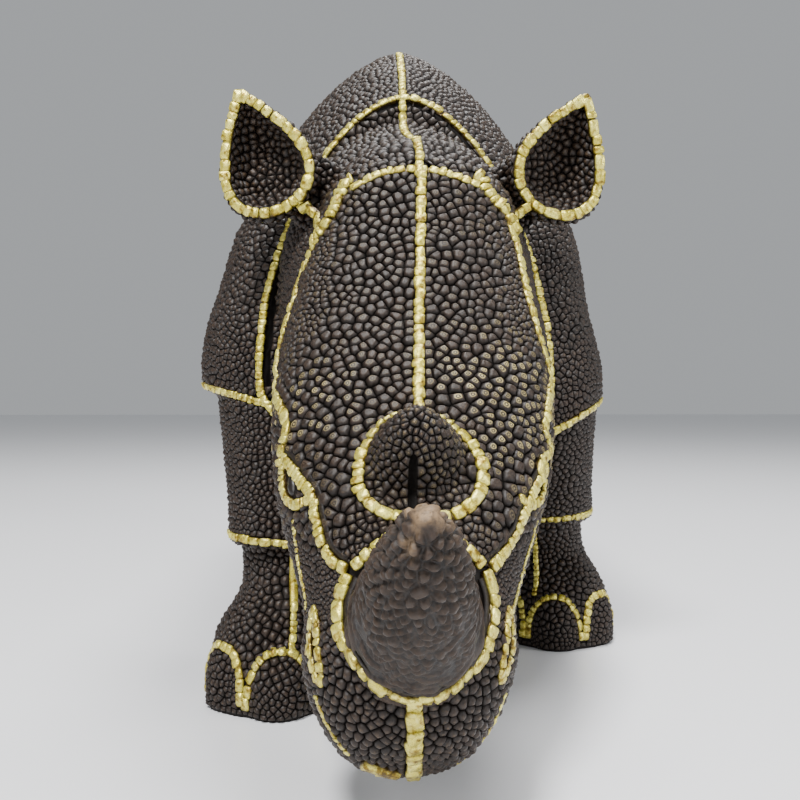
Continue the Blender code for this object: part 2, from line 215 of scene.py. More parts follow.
def trunk():
    w = SHOULDER_HALF_WIDTH
    z = WIDEST_Z
    low = z - BELLY_BOTTOM
    hump = HUMP_TOP - z
    rows = [
        (COLLAR_Y - 1, 0, z, COLLAR_HALF_WIDTH - 2, COLLAR_TOP - z - 3, low - 12, 1.7, 2.0),
        (COLLAR_Y, 0, z, COLLAR_HALF_WIDTH, COLLAR_TOP - z, low - 10, 1.7, 2.0),
        (COLLAR_Y + 14, 0, z, w * 0.81, hump - 23, low - 6, 1.6, 2.0),
        (COLLAR_Y + 33, 0, z, w * 0.95, hump - 8.5, low - 3, 1.55, 2.0),
        (COLLAR_Y + 52, 0, z, w * 0.97, hump - 0.5, low, 1.52, 2.0),
        (COLLAR_Y + 70, 0, z, w * 0.97, hump, low + 2, 1.52, 2.0),
        (22, 0, z + 3, LOIN_HALF_WIDTH, LOIN_TOP - z + 4, low + 8, 1.6, 2.1),
        (60, 0, z + 6, LOIN_HALF_WIDTH + 1, LOIN_TOP - z - 6, low + 10, 1.7, 2.1),
        (108, 0, z + 10, HIP_HALF_WIDTH, RUMP_TOP - z - 10, low + 6, 1.75, 2.1),
        (145, 0, z + 16, HIP_HALF_WIDTH * 0.86, RUMP_TOP - z - 29, low + 2, 1.9, 2.1),
        (168, 0, z + 24, HIP_HALF_WIDTH * 0.62, RUMP_TOP - z - 55, low - 6, 2.0, 2.1),
        (RUMP_Y - 8, 0, z + 30, HIP_HALF_WIDTH * 0.24, 20, 18, 2.0, 2.0),
    ]
    return loft(rows, -TRUNK_LEAN * z * Y_WAY, Y_WAY, X_WAY, Z_WAY, lean=TRUNK_LEAN)


def neck():
    rows = [
        (-40, 0, 124, 36, 52, 50, 2.0, 2.0),
        (-66, 0, 122, 38, 54, 54, 2.0, 2.0),
        (-84, 0, 118, 38, 47, 54, 2.0, 2.0),
        (-100, 1, 112, 34, 41, 52, 2.0, 2.0),
        (-114, 2, 106, 27, 30, 46, 2.0, 2.0),
        (-124, 2, 100, 14, 16, 24, 2.0, 2.0),
    ]
    return loft(rows, ORIGIN, Y_WAY, X_WAY, Z_WAY)


def head_axes():
    """Directions of the lowered head: down its length and out of its face."""
    a = math.radians(HEAD_PITCH)
    return np.array((0, -math.cos(a), -math.sin(a))), np.array((0, -math.sin(a), math.cos(a)))


def head_point(along, side, out):
    """A place on the head from its length, side offset and height off the face."""
    down, face = head_axes()
    return POLL + X_WAY * (HEAD_DRIFT * along / HEAD_LENGTH + side) + down * along + face * out


def plate_edge(share):
    """Half width of the raised face plate at a share of the head's length."""
    places = (-0.03, 0.0, 0.20, 0.45, 0.60, 0.67, 0.72, 0.765, 0.79)
    widths = (0.0, 0.74, 0.80, 0.93, 0.90, 0.72, 0.56, 0.40, 0.0)
    return CHEEK_HALF_WIDTH * np.interp(share, places, widths)


def head():
    down, face = head_axes()
    c = CHEEK_HALF_WIDTH
    m = MUZZLE_HALF_WIDTH
    rows = [
        (-0.18, -30, 0.45 * c, 16, 22, 2.2, 2.0),
        (-0.10, -28, 0.70 * c, 25, 34, 2.4, 2.0),
        (0.0, -24, 0.80 * c, 24, 0.62 * CHEEK_DEPTH, 2.6, 2.2),
        (0.15, -24, 0.90 * c, 22, 0.68 * CHEEK_DEPTH, 2.7, 2.3),
        (0.32, -23, 0.985 * c, 20.5, 0.70 * CHEEK_DEPTH, 2.7, 2.3),
        (0.48, -21, 0.95 * c, 20.5, 0.66 * CHEEK_DEPTH, 2.6, 2.3),
        (0.60, -20, 0.865 * c, 21.5, 0.60 * CHEEK_DEPTH, 2.5, 2.2),
        (0.70, -19, 0.74 * c, 22.5, 0.75 * MUZZLE_DEPTH, 2.5, 2.2),
        (0.79, -18, 1.03 * m, 22.5, 0.66 * MUZZLE_DEPTH, 2.4, 2.2),
        (0.87, -18, m, 21, 0.60 * MUZZLE_DEPTH, 2.4, 2.2),
        (0.94, -19, 0.80 * m, 17, 0.52 * MUZZLE_DEPTH, 2.4, 2.2),
        (0.985, -21, 0.50 * m, 10, 0.38 * MUZZLE_DEPTH, 2.3, 2.1),
        (1.0, -23, 0.16 * m, 3, 4, 2.0, 2.0),
    ]
    rows = [(share * HEAD_LENGTH, share * HEAD_DRIFT, *rest) for share, *rest in rows]
    points, faces = loft(rows, POLL, down, X_WAY, face, per_gap=8)
    places = np.array(points) - POLL
    share = places @ down / HEAD_LENGTH
    out = places @ face
    aside = np.abs(places[:, 0] - HEAD_DRIFT * share)
    raised = np.clip((plate_edge(share) - aside) / 2.0 + 0.5, 0, 1) * (out > -22)
    points = np.array(points) + PLATE_STEP * raised[:, None] * face
    return [tuple(p) for p in points], faces


def horn(along, length, radius, forward, bend, power, rows=20, around=32):
    """A blunt horn that leans to the muzzle at its foot and bends back to the brow."""
    down, face = head_axes()
    rings = []
    angles = turns(around)
    for k in range(rows + 1):
        t = 1 - (1 - k / rows) ** 1.6
        r = radius * ((1 - t) ** power + 0.12 * max(0.0, 1 - 4 * t) ** 2)
        r = max(r, 0.02 * radius)
        centre = head_point(along, 0, -5) + face * (length + 5) * t + down * (forward * t - bend * t * t)
        slope = (forward - 2 * bend * t) / (length + 5)
        across = (down - face * slope) / math.sqrt(1 + slope * slope)
        egg = 1.0 + 0.10 * (1 - t)
        way = r * np.cos(angles)[:, None] * X_WAY + egg * r * np.sin(angles)[:, None] * across
        rings.append(centre + way)
    return close_rings(rings)


def ear_axes(side):
    """The ear cup's centre and its long, cross and facing directions."""
    cup = np.array((1.5 + side * 43.0, POLL_Y + 12.0, POLL_Z + 8.0))
    lean = math.radians(20.0) * side
    long_way = np.array((math.sin(lean), 0.06, math.cos(lean)))
    long_way /= np.linalg.norm(long_way)
    facing = np.array((side * 0.24, -1.0, 0.06))
    facing -= long_way * facing.dot(long_way)
    facing /= np.linalg.norm(facing)
    return cup, long_way, np.cross(long_way, facing), facing


def leaf(side, scale, depth, inset=0.0, points=48):
    """One outline of the ear's leaf, at a depth along its facing direction."""
    cup, long_way, across, facing = ear_axes(side)
    angles = turns(points)
    u = (EAR_LENGTH / 2 * scale - inset) * np.cos(angles)
    v = (EAR_WIDTH / 2 * scale - inset) * np.sin(angles) * np.sin(angles / 2) ** 1.2 / 0.73
    return cup + u[:, None] * long_way + v[:, None] * across + facing * depth


def ear(side):
    """A funnel ear: a round root, a cupped leaf that faces forward and a thick rim."""
    root = np.array((POLL_X + side * 20.0, POLL_Y + 18.0, POLL_Z - 9.0))
    cup, long_way, across, facing = ear_axes(side)
    angles = turns(48)
    stalk = cup - facing * 10 - root
    ring = np.cos(angles)[:, None] * long_way + np.sin(angles)[:, None] * across
    ring -= (ring @ stalk)[:, None] * stalk / stalk.dot(stalk)
    ring /= np.linalg.norm(ring, axis=1)[:, None]
    tube = [root + stalk * (1.15 * t - 0.15) + (EAR_ROOT_RADIUS - 1.5 * t) * ring for t in np.arange(7) / 6]
    back = [(0.30, -13.5), (0.60, -12.0), (0.84, -8.5), (0.98, -4.0), (1.02, -1.0), (1.0, 0.8)]
    rim = [(1.0, 0.4, EAR_WALL * 0.8), (1.0, -2.0, EAR_WALL)]
    inside = [(0.60, -EAR_CUP * 0.75), (0.25, -EAR_CUP)]
    bowl = [leaf(side, *row) for row in back + rim + inside]
    return [close_rings(tube), close_rings(bowl)]


def leg_axis(row, hind, z):
    """Middle of a leg at a height."""
    side, top_x, top_y, foot_x, foot_y, turn = row
    skirt = HIP_SKIRT_Z if hind else SHOULDER_SKIRT_Z
    ankle_x = foot_x - side * 2.5
    ankle_y = foot_y + 4
    share = (z - ANKLE_Z) / (skirt - ANKLE_Z)
    bulge = (HOCK_BEND if hind else KNEE_BEND) * math.exp(-(((z - KNEE_Z - 6) / 17) ** 2))
    return ankle_x + (top_x - ankle_x) * share, ankle_y + (top_y - ankle_y) * share + bulge


def leg(row, hind):
    """One leg in three lengths, each tucked under the cuff above it."""
    side, top_x, top_y, foot_x, foot_y, turn = row
    k = KNEE_RADIUS
    a = ANKLE_RADIUS
    f = FOOT_RADIUS
    skirt = HIP_SKIRT_Z if hind else SHOULDER_SKIRT_Z

    def at(z):
        return (z, *leg_axis(row, hind, z))

    lower = [
        (-SOLE_DEPTH, foot_x, foot_y, f * 0.97, f * 0.94, f * 0.97, 2.2, 2.2),
        (3, foot_x, foot_y, f, f * 0.96, f, 2.2, 2.2),
        (12, foot_x, foot_y, f * 0.95, f * 0.93, f * 0.95, 2.2, 2.2),
        (21, foot_x, foot_y + 1, f * 0.81, f * 0.86, f * 0.84, 2.1, 2.1),
        (*at(ANKLE_Z - 2), a * 1.06, a * 1.2, a * 1.1, 2.0, 2.0),
        (*at(ANKLE_Z + 6), a, a * 1.12, a * 1.02, 2.0, 2.0),
        (*at(KNEE_Z + 6), k - CUFF_STEP, k * 1.1 - CUFF_STEP, k * 1.05 - CUFF_STEP, 2.0, 2.0),
        (*at(KNEE_Z + 16), k - CUFF_STEP - 2, k - 2, k - 2, 2.0, 2.0),
    ]
    wide = THIGH_RADIUS if hind else UPPER_LEG_RADIUS
    middle = [
        (*at(KNEE_Z - 1), k - 1.4, k * 1.1 - 1.4, k * 1.05 - 1.4, 2.1, 2.1),
        (*at(KNEE_Z), k, k * 1.1, k * 1.05, 2.1, 2.1),
        (*at(KNEE_Z + 12), k + 0.8, k * 1.15, k * 1.12, 2.1, 2.1),
        (*at(skirt - 12), wide * 0.94, wide * 1.08, wide * 1.08, 2.1, 2.1),
        (skirt + 6, top_x, top_y, wide, wide * 1.2, wide * 1.2, 2.1, 2.1),
        (skirt + 20, top_x, top_y, wide * 0.8, wide, wide, 2.1, 2.1),
    ]
    out = [loft(rows, ORIGIN, Z_WAY, X_WAY, Y_WAY) for rows in (lower, middle)]
    for toe in (-1, 0, 1):
        around = math.radians(-90 + TOE_SPREAD * toe + turn)
        reach = f - TOE_RADIUS * 0.62
        centre = (foot_x + reach * math.cos(around), foot_y + reach * math.sin(around), 5.0)
        size = TOE_RADIUS * (1.08 if toe == 0 else 0.88)
        out.append(ball(centre, (size * 0.95, size, 15.0), around))
    return out


def plate(place, base, size, slope, tuck, reach):
    """A shoulder or hip plate that ends below in a straight skirt."""
    x, y = place
    wide, deep = size
    top = PLATE_TOP
    rows = [
        (base, x, y, wide - 2.0, deep - 2, deep - 2, 2.2, 2.2),
        (base + 1.2, x, y, wide, deep, deep, 2.2, 2.2),
        (base + 16, x, y, wide, deep * 1.02, deep * 1.02, 2.2, 2.2),
        (base + 38, x - 0.4 * tuck, y + 3, wide * 0.98, deep, deep, 2.1, 2.1),
        (top - 22, x - tuck, y + reach * 0.6, wide * 0.88, deep * 0.85, deep * 0.85, 2.0, 2.0),
        (top, x - 1.8 * tuck, y + reach, wide * 0.3, deep * 0.35, deep * 0.35, 2.0, 2.0),
    ]
    points, faces = loft(rows, ORIGIN, Z_WAY, X_WAY, Y_WAY)
    return [(px, py, pz + skirt_rise(px, x, pz - base, slope)) for px, py, pz in points], faces


def skirt_rise(px, x, above, slope):
    """How far a skirt's edge rises at its outer side; the rise fades out up the plate."""
    outward = (px - x) * math.copysign(1.0, x)
    return slope * (max(outward, 0.0) - 8.0) * max(0.0, 1.0 - max(above, 0.0) / 40.0)


def tail():
    rings = []
    angles = turns(16)
    for k in range(17):
        t = k / 16
        y = RUMP_Y - 10 + 13 * math.sin(min(1.0, t * 1.5) * math.pi / 2) - 4 * t
        z = TAIL_TOP - TAIL_LENGTH * t
        r = TAIL_RADIUS - 1.8 * t + 2.6 * math.exp(-(((t - 0.86) / 0.08) ** 2))
        r *= math.sqrt(max(0.04, 1 - max(0.0, (t - 0.93) / 0.07) ** 2))
        rings.append(np.stack([r * np.cos(angles), y + r * np.sin(angles), np.full(16, z)], axis=1))
    return close_rings(rings[::-1])


FRONT_HORN = (0.84 * HEAD_LENGTH, FRONT_HORN_LENGTH, FRONT_HORN_RADIUS, 8.0, 9.0, 0.5)
REAR_HORN = (0.61 * HEAD_LENGTH, REAR_HORN_LENGTH, REAR_HORN_RADIUS, 1.0, 5.0, 0.6)


def skirts(side):
    """Place, height, half sizes and slope of the shoulder's skirt, then of the hip's."""
    left = side > 0
    shoulder = (
        (side * SHOULDER_X, SHOULDER_Y),
        SHOULDER_SKIRT_Z - (SKIRT_DROP if left else 0.0),
        (SHOULDER_PLATE_WIDTH / 2, SHOULDER_PLATE_DEPTH / 2),
        LEFT_SKIRT_SLOPE if left else RIGHT_SKIRT_SLOPE,
    )
    hip = (side * HIP_X, HIP_Y), HIP_SKIRT_Z, (HIP_PLATE_WIDTH / 2, HIP_PLATE_DEPTH / 2), HIP_SKIRT_SLOPE
    return shoulder, hip


def forms():
    """Every form of the figure, as closed skins in steps."""
    out = [trunk(), neck(), head(), horn(*FRONT_HORN), horn(*REAR_HORN)]
    for side in (-1, 1):
        out.extend(ear(side))
        shoulder, hip = skirts(side)
        out.append(plate(*shoulder, side * (6.0 if side > 0 else 10.0), 16))
        out.append(plate(*hip, side * 10, -4))
    for k, row in enumerate(LEGS):
        out.extend(leg(row, hind=k > 1))
    out.append(tail())
    return out


# Small tools for meshes held as arrays


def unit(v):
    return v / np.maximum(np.linalg.norm(v, axis=-1, keepdims=True), 1e-12)


def mesh_arrays(mesh):
    """Places and triangles of a mesh."""
    co = np.empty(len(mesh.vertices) * 3, np.float32)
    mesh.vertices.foreach_get("co", co)
    mesh.calc_loop_triangles()
    tri = np.empty(len(mesh.loop_triangles) * 3, np.int32)
    mesh.loop_triangles.foreach_get("vertices", tri)
    return co.reshape(-1, 3).astype(float), tri.reshape(-1, 3)


def placed(name, data):
    """A new object in the scene."""
    obj = bpy.data.objects.new(name, data)
    bpy.context.scene.collection.objects.link(obj)
    return obj


def settled(obj):
    """Places and triangles of a helper after its modifiers; the helper is then removed."""
    mesh = obj.data
    graph = bpy.context.evaluated_depsgraph_get()
    graph.update()
    out = mesh_arrays(obj.evaluated_get(graph).to_mesh())
    bpy.data.objects.remove(obj, do_unlink=True)
    bpy.data.meshes.remove(mesh)
    return out


def tree_of(points):
    """A search tree over an array of places."""
    tree = KDTree(len(points))
    for k, p in enumerate(points.tolist()):
        tree.insert(p, k)
    tree.balance()
    return tree


def point_normals(points, tri):
    """Outward direction and share of the area at each point of a skin."""
    n = np.cross(points[tri[:, 1]] - points[tri[:, 0]], points[tri[:, 2]] - points[tri[:, 0]])
    out = np.zeros_like(points)
    for k in range(3):
        for axis in range(3):
            out[:, axis] += np.bincount(tri[:, k], n[:, axis], minlength=len(points))
    area = np.linalg.norm(n, axis=1) / 6
    share = sum(np.bincount(tri[:, k], area, minlength=len(points)) for k in range(3))
    return unit(out), share


def lattice(points, scale, seed):
    """Smooth random field from 0 to 1 with bumps about as wide as the scale."""
    q = np.asarray(points, dtype=float) / scale
    i = np.floor(q).astype(np.int64)
    f = q - i
    f = f * f * (3 - 2 * f)
    total = np.zeros(len(q))
    for corner in range(8):
        o = np.array((corner & 1, corner >> 1 & 1, corner >> 2 & 1))
        g = i + o
        h = g[:, 0] * 73856093 ^ g[:, 1] * 19349663 ^ g[:, 2] * 83492791 ^ seed * 26544357
        h = (h ^ h >> 13) * 1274126177 & 0xFFFFFF
        w = np.prod(np.where(o == 1, f, 1 - f), axis=1)
        total += w * (h / 0xFFFFFF)
    return total


def cast():
    """The whole figure as one even, fine skin in steps."""
    points = []
    faces = []
    for verts, polys in forms():
        base = len(points)
        points.extend(verts)
        faces.extend(tuple(base + i for i in poly) for poly in polys)
    mesh = bpy.data.meshes.new("cast")
    mesh.from_pydata([tuple(p) for p in points], [], faces)
    bm = bmesh.new()
    bm.from_mesh(mesh)
    bmesh.ops.recalc_face_normals(bm, faces=bm.faces)
    bm.to_mesh(mesh)
    bm.free()
    obj = placed("cast", mesh)
    fine = obj.modifiers.new("even", "REMESH")
    fine.mode = "VOXEL"
    fine.voxel_size = SKIN
    soft = obj.modifiers.new("soft", "SMOOTH")
    soft.factor = 0.5
    soft.iterations = 4
    return settled(obj)


# The skin: its points and triangles, then the outward direction and the area at each point
P, T = cast()
N, AREA = point_normals(P, T)
ABOVE = P[P[:, 2] > 0]
MIDDLE = (ABOVE.min(axis=0) + ABOVE.max(axis=0)) / 2 * (1, 1, 0)
SURFACE = BVHTree.FromPolygons(P.tolist(), T.tolist())
DOWN, FACE = head_axes()


def head_coords(points):
    """Length down the head, offset to its side and height off its face."""
    q = points - POLL
    along = q @ DOWN
    return along, q[:, 0] - HEAD_DRIFT * along / HEAD_LENGTH, q @ FACE


# Seams


def fill(points, closed, pace=0.7):
    """A smooth line through guide points, sampled at an even pace."""
    p = np.array(points, dtype=float)
    if closed:
        p = np.vstack([p[-1], p, p[0], p[1]])
    else:
        p = np.vstack([2 * p[0] - p[1], p, 2 * p[-1] - p[-2]])
    out = []
    for k in range(1, len(p) - 2):
        gap = np.linalg.norm(p[k + 1] - p[k])
        count = max(2, int(gap / pace))
        t = np.arange(count)[:, None] / count
        a, b, c, d = p[k - 1], p[k], p[k + 1], p[k + 2]
        curve = 2 * b + (c - a) * t + (2 * a - 5 * b + 4 * c - d) * t**2 + (3 * b - a - 3 * c + d) * t**3
        out.append(0.5 * curve)
    if not closed:
        out.append(p[-2:-1])
    return np.vstack(out)


def blur(values, closed, rounds):
    """Moving mean along a line."""
    for _ in range(rounds):
        if closed:
            values = (np.roll(values, 1, 0) + 2 * values + np.roll(values, -1, 0)) / 4
        else:
            mid = (values[:-2] + 2 * values[1:-1] + values[2:]) / 4
            values = np.vstack([values[:1], mid, values[-1:]])
    return values


def on_skin(points):
    """Nearest places on the skin and their outward directions."""
    spots, ways = zip(*[SURFACE.find_nearest(Vector(p))[:2] for p in points])
    return np.array(spots), np.array(ways)


# The camera's place, in steps
VIEW = np.array((-9.6, -325.0, 86.0))


def seen(points):
    """Places on the skin that hide or show each point from the front, else the nearest ones."""
    found = []
    for p in points:
        hit = SURFACE.ray_cast(Vector(VIEW), Vector(unit(p - VIEW)))
        if hit[0] is None or np.linalg.norm(np.array(hit[0]) - p) > 8:
            hit = SURFACE.find_nearest(Vector(p))
        found.append(hit[:2])
    spots, ways = zip(*found)
    return np.array(spots), np.array(ways)


SEAMS = []
RIMS = []
FURROWS = []


def seam(points, width, closed=False, pitch=1.0, high=0.42, push=None, lift=0.0, front=False, **style):
    """A bead line laid over the skin along guide points.

    The pitch and height of the beads are shares of the line's width. Merge is the share of that
    height which the band under the beads has. A flat line is a band alone. A rim is a bare ridge
    of resin beside the beads, on the left of the line's run where it is above nought, and a furrow
    is a deep bare groove there. A front line is laid where it is seen from the front.
    """
    line = fill(points, closed)
    spot, way = seen(line) if front else on_skin(line)
    spot = blur(spot, closed, 3)
    way = unit(blur(way, closed, 8))
    if push is not None:
        way = unit(way + np.array(push))
    spot = spot + way * lift
    laid = {"fine": False, "dirt": 0.0, "flat": False, "merge": 0.60, "gaps": []} | style
    laid |= dict(spot=spot, way=way, width=width, closed=closed, pitch=width * pitch, high=width * high)
    SEAMS.append(laid)
    left = unit(np.cross(way, tangent(spot, closed)))
    if "rim" in style:
        RIMS.append(laid | dict(spot=spot + left * style["rim"], width=1.5, high=0.5, merge=0.66, gaps=()))
    if "furrow" in style:
        FURROWS.append((spot + left * style["furrow"], abs(style["furrow"]) * 0.42))


def tangent(spot, closed):
    """Directions along a line."""
    if closed:
        return unit(np.roll(spot, -1, 0) - np.roll(spot, 1, 0))
    return unit(np.gradient(spot, axis=0))


def top_at(x, y):
    """Top of the figure above a place, or nothing past its end."""
    where = SURFACE.ray_cast(Vector((x, y, 400)), Vector((0, 0, -1)))[0]
    return [np.array(where)] if where is not None else []


def on_face(along, side):
    """The skin in front of a place on the head."""
    where = SURFACE.ray_cast(Vector(head_point(along, side, 60)), Vector(-FACE))[0]
    return np.array(where) if where is not None else head_point(along, side, -10)


def heads(rows):
    """Guide points from head lengths, side offsets and heights off the face."""
    return [head_point(*row) for row in rows]


def loop(x, y, z, wide, deep, start=0, stop=360, step=10, power=2.2):
    """Guide points round a rounded section at one height."""
    out = []
    for a in np.radians(np.arange(start, stop, step)):
        c = math.cos(a)
        s = math.sin(a)
        out.append((x + wide * bowed(c, 2 / power), y + deep * bowed(s, 2 / power), z))
    return out


FACE_BEAD = 2.8
BODY_BEAD = 2.4


def back_seams():
    """The line along the spine, the collar and the plates' edges."""
    places = [(-0.4, y) for y in np.arange(186, -60, -12.0)]
    places += [(-0.5, -66), (-0.6, -74), (-0.2, -80), (0.9, -84)]
    places += [(1.8, -88), (2.1, -96), (2.2, -103), (2.5, -109)]
    spine = []
    for x, y in places:
        spine += top_at(x, y)
    spine.append(on_face(3.0, -0.2))
    seam(spine, 2.6, high=0.40)
    collar = []
    for a in np.radians(np.arange(-70, 251, 8)):
        c = math.cos(a)
        s = math.sin(a)
        reach = COLLAR_TOP - WIDEST_Z if s > 0 else WIDEST_Z - BELLY_BOTTOM - 10
        x = COLLAR_HALF_WIDTH * bowed(c, 2 / 1.7)
        collar.append((x, COLLAR_Y + 0.5 + TRUNK_LEAN * reach * s, WIDEST_Z + reach * s))
    seam(collar, 2.6, fine=True, furrow=2.3)
    for side in (-1, 1):
        for skirt in skirts(side):
            seam(skirt_edge(*skirt), BODY_BEAD)
        for place, lean in ((10.0, 0.20), (74.0, -0.10)):
            line = []
            for up in np.arange(88, 200, 10):
                start = Vector((side * 200, place + lean * (up - 90), up))
                where = SURFACE.ray_cast(start, Vector((-side, 0, 0)))[0]
                if where is not None:
                    line.append(np.array(where))
            line += top_at(side * 3.0, place + lean * 120)
            seam(line, BODY_BEAD)


def skirt_edge(place, base, size, slope, above=1.4):
    """Guide points a little above the lower edge of a shoulder or hip plate."""
    x, y = place
    side = math.copysign(1.0, x)
    edge = loop(0, 0, base + above, *size, -150, 151)
    return [(x + side * px, y + py, pz + skirt_rise(x + side * px, x, above, slope)) for px, py, pz in edge]


def face_seams():
    """The lines of the face plate, the horn rings, the eyes, the nostrils and the mouth."""
    spine = [on_face(a, 0.4) for a in (3, 12, 20, 28, 38, 48, 58, 68, 78)]
    seam(spine, FACE_BEAD, pitch=1.1, fine=True, merge=0.80)
    # The lines of the lip and the mouth run there and back, so their beads overlap and look crowded
    lip = [(135.6, 0.3, 1), (138, 0.7, -4), (140.5, 0.8, -8), (142.5, 1, -13), (144, 1.2, -24)]
    seam(heads(lip), 3.2, closed=True, fine=True)
    brow = [(6, -18, -2), (5.1, -15.8, -1), (3.7, -12.4, 0.2), (2.6, -9, 1), (2, -2.5, 1.5), (2, 1.2, 1.6)]
    brow += [(2.3, 4.2, 1.5), (3.6, 8.4, 1.1), (4.5, 12.4, 0.2), (5.3, 15.2, -0.7)]
    seam(heads(brow), 2.5, fine=True)
    right = [(13.8, -26.5, -12), (16, -29, -17), (22, -31, -20), (30, -32.5, -20), (40, -33.6, -19)]
    right += [(52, -34, -17), (63, -32.6, -12.5), (72, -29.3, -6.5), (77, -28, -5), (82, -28.6, -5.4)]
    left = [(9.2, 23, -6), (16, 25.5, -9), (24, 27, -10), (33, 28, -10.5), (42, 29.5, -11), (51, 32, -14)]
    left += [(58, 32.3, -12.5), (64, 31.3, -9.7), (73, 29.4, -6.3), (77, 28.5, -5), (81, 29.5, -6)]
    for edge, end in ((right, (86, -28.4, -5)), (left, (86, 29, -6))):
        seam(heads([*edge, end]), FACE_BEAD, pitch=0.95, fine=True, front=True)
    right = [(84, -28.2, -5), (88.1, -25.5, -2.8), (93, -22.4, -0.9), (95.9, -20.6, 0.1), (99.1, -20, 0.3)]
    right += [(102.5, -18.9, 0.7), (106.2, -17.5, 0), (109.6, -15.3, 0.4), (111.4, -13, 1.5)]
    left = [(85.5, 29, -5.9), (88.1, 27.5, -4.6), (91.6, 25.5, -3.2), (97.4, 22.8, -1.9), (99.9, 21.6, -1.4)]
    left += [(102.9, 20.5, -1.9), (104.9, 19.3, -1.5), (107.3, 17.5, -0.8), (111.3, 14.6, 0.7)]
    for slope, rim in ((right, 1.9), (left, -1.9)):
        seam(heads(slope), 2.6, pitch=0.66, fine=True, front=True, rim=rim, merge=0.72)
    bridge = [(111.5, -11.6, 2.8), (110.8, -10.2, 4), (109.8, -9.1, 4.9), (108, -6.9, 5.4)]
    bridge += [(106.4, -4.6, 5.6), (105.4, -1.5, 5.8), (105.6, 2.0, 5.8), (106.6, 6.0, 5.6)]
    bridge += [(108.3, 9.1, 4.9), (109.9, 11.2, 3.9), (111.0, 12.8, 2.4)]
    seam(heads(bridge), 2.4, fine=True)
    ring = np.radians(np.arange(0, 360, 15))
    rear = [head_point(91.5 + 12.0 * math.sin(a), 1.0 + 12.9 * math.cos(a), 3.0) for a in ring]
    seam(rear, FACE_BEAD, closed=True, pitch=0.95, fine=True)
    front = [(112.5, -12.4, 1.8), (116.4, -13.9, 0.5), (120.3, -14.1, 0.5), (124.5, -13.3, 0.1)]
    front += [(128, -11.0, 2.0), (131.4, -8.2, 2.6), (133.8, -4.9, 2.4), (135.5, 0.3, 1.2)]
    front += [(133.9, 6.4, 1.2), (131.5, 9.4, 1.1), (128.9, 11.9, -0.5), (125.2, 14.1, -0.9)]
    front += [(120.6, 15.1, -0.9), (116.2, 15.1, -0.8), (112.7, 14.2, 0.6)]
    seam(heads(front), FACE_BEAD, pitch=1.2, fine=True, rim=1.9)
    for side in (-1, 1):
        lid = [(84, 28.0, -6.0), (88, 28.2, -7.6), (92, 27.2, -7.6), (95.2, 24.6, -5.2), (96, 21.5, -1)]
        seam(heads([(a, side * s, o) for a, s, o in lid]), 2.3, pitch=0.7, fine=True, front=True)
        nostril = []
        for a in np.radians(np.arange(0, 360, 20)):
            c = math.cos(a)
            nostril.append((124.0 + 7.2 * math.sin(a), side * (18.6 + 1.7 * c), -6.4 - 1.2 * c))
        seam(heads(nostril), 1.9, closed=True, fine=True, dirt=0.15)
    right_jaw = [(97.5, -25, -7), (101, -24.2, -7.5), (106, -23.2, -8.6), (112, -21.5, -11), (116, -20.9, -11)]
    right_lip = [(131.5, -17.6, -11.2), (135, -16.4, -13), (138.5, -14, -15), (141, -11.5, -17.5)]
    left_jaw = [(97.5, 25.8, -7), (101, 24.9, -7.5), (107.5, 22.7, -9), (116, 20.2, -10.2)]
    left_lip = [(131.5, 18.4, -12.2), (137, 15.8, -19), (142, 9.5, -26)]
    for jaw, corner in ((right_jaw, right_lip), (left_jaw, left_lip)):
        seam(heads(jaw), 1.3, fine=True, front=True)
        seam(heads(corner), 1.4, fine=True)
    mouth = [(142.6, -8.6, -18.4), (143.6, -5.5, -20), (144.2, -1.8, -21.5)]
    seam(heads(mouth), 3.4, closed=True, fine=True, dirt=0.35)


def hollows():
    """Deep bare grooves: the nostrils and the cleft of the rear horn."""
    for side in (-1, 1):
        slit = fill(heads([(120, side * 17.6, -5), (124, side * 18.4, -7), (129, side * 18.2, -8.5)]), False)
        FURROWS.append((on_skin(slit)[0], 0.9))
    cleft = [on_face(a, -0.8) for a in (92.5, 95, 97, 99, 101.5)]
    FURROWS.append((on_skin(fill(cleft, False))[0], 0.6))


def ear_seams():
    """The ear's rim, the band at its foot and the fold that joins them."""
    count = 40
    fold_from = 18
    right = [(0.5, -17.8, -3), (1.8, -19.2, -3), (7, -21, -4), (11.7, -22.4, -5), (14.2, -25.2, -8.5)]
    left = [(0.5, 14.6, -1.5), (2.2, 16.1, -1.1), (7.1, 18.8, -2.5), (9.2, 21.9, -4.8), (11.2, 24.3, -7.1)]
    bands = {-1: [*right, (15, -27.3, -12)], 1: [*left, (13.2, 26.6, -11)]}
    for side in (-1, 1):
        facing = ear_axes(side)[3]
        rim = leaf(side, 1.0, 0.6, EAR_WALL * 0.42, points=count)
        seam(rim, 3.1, closed=True, pitch=1.05, push=facing * 1.2, lift=-0.1, fine=True)
        seam(heads(bands[side]), 4.3, pitch=0.5, high=0.40, fine=True, front=True)
        low = leaf(side, 1.0, 0.6, EAR_WALL * 0.3, points=count)
        start = low[fold_from if side < 0 else count - fold_from]
        foot = head_point(12.6, side * 25.6, -9.5)
        fold = [start + (foot - start) * t for t in (0.0, 0.3, 0.6, 0.9)]
        seam(fold, 2.9, pitch=1.3, fine=True, front=True)


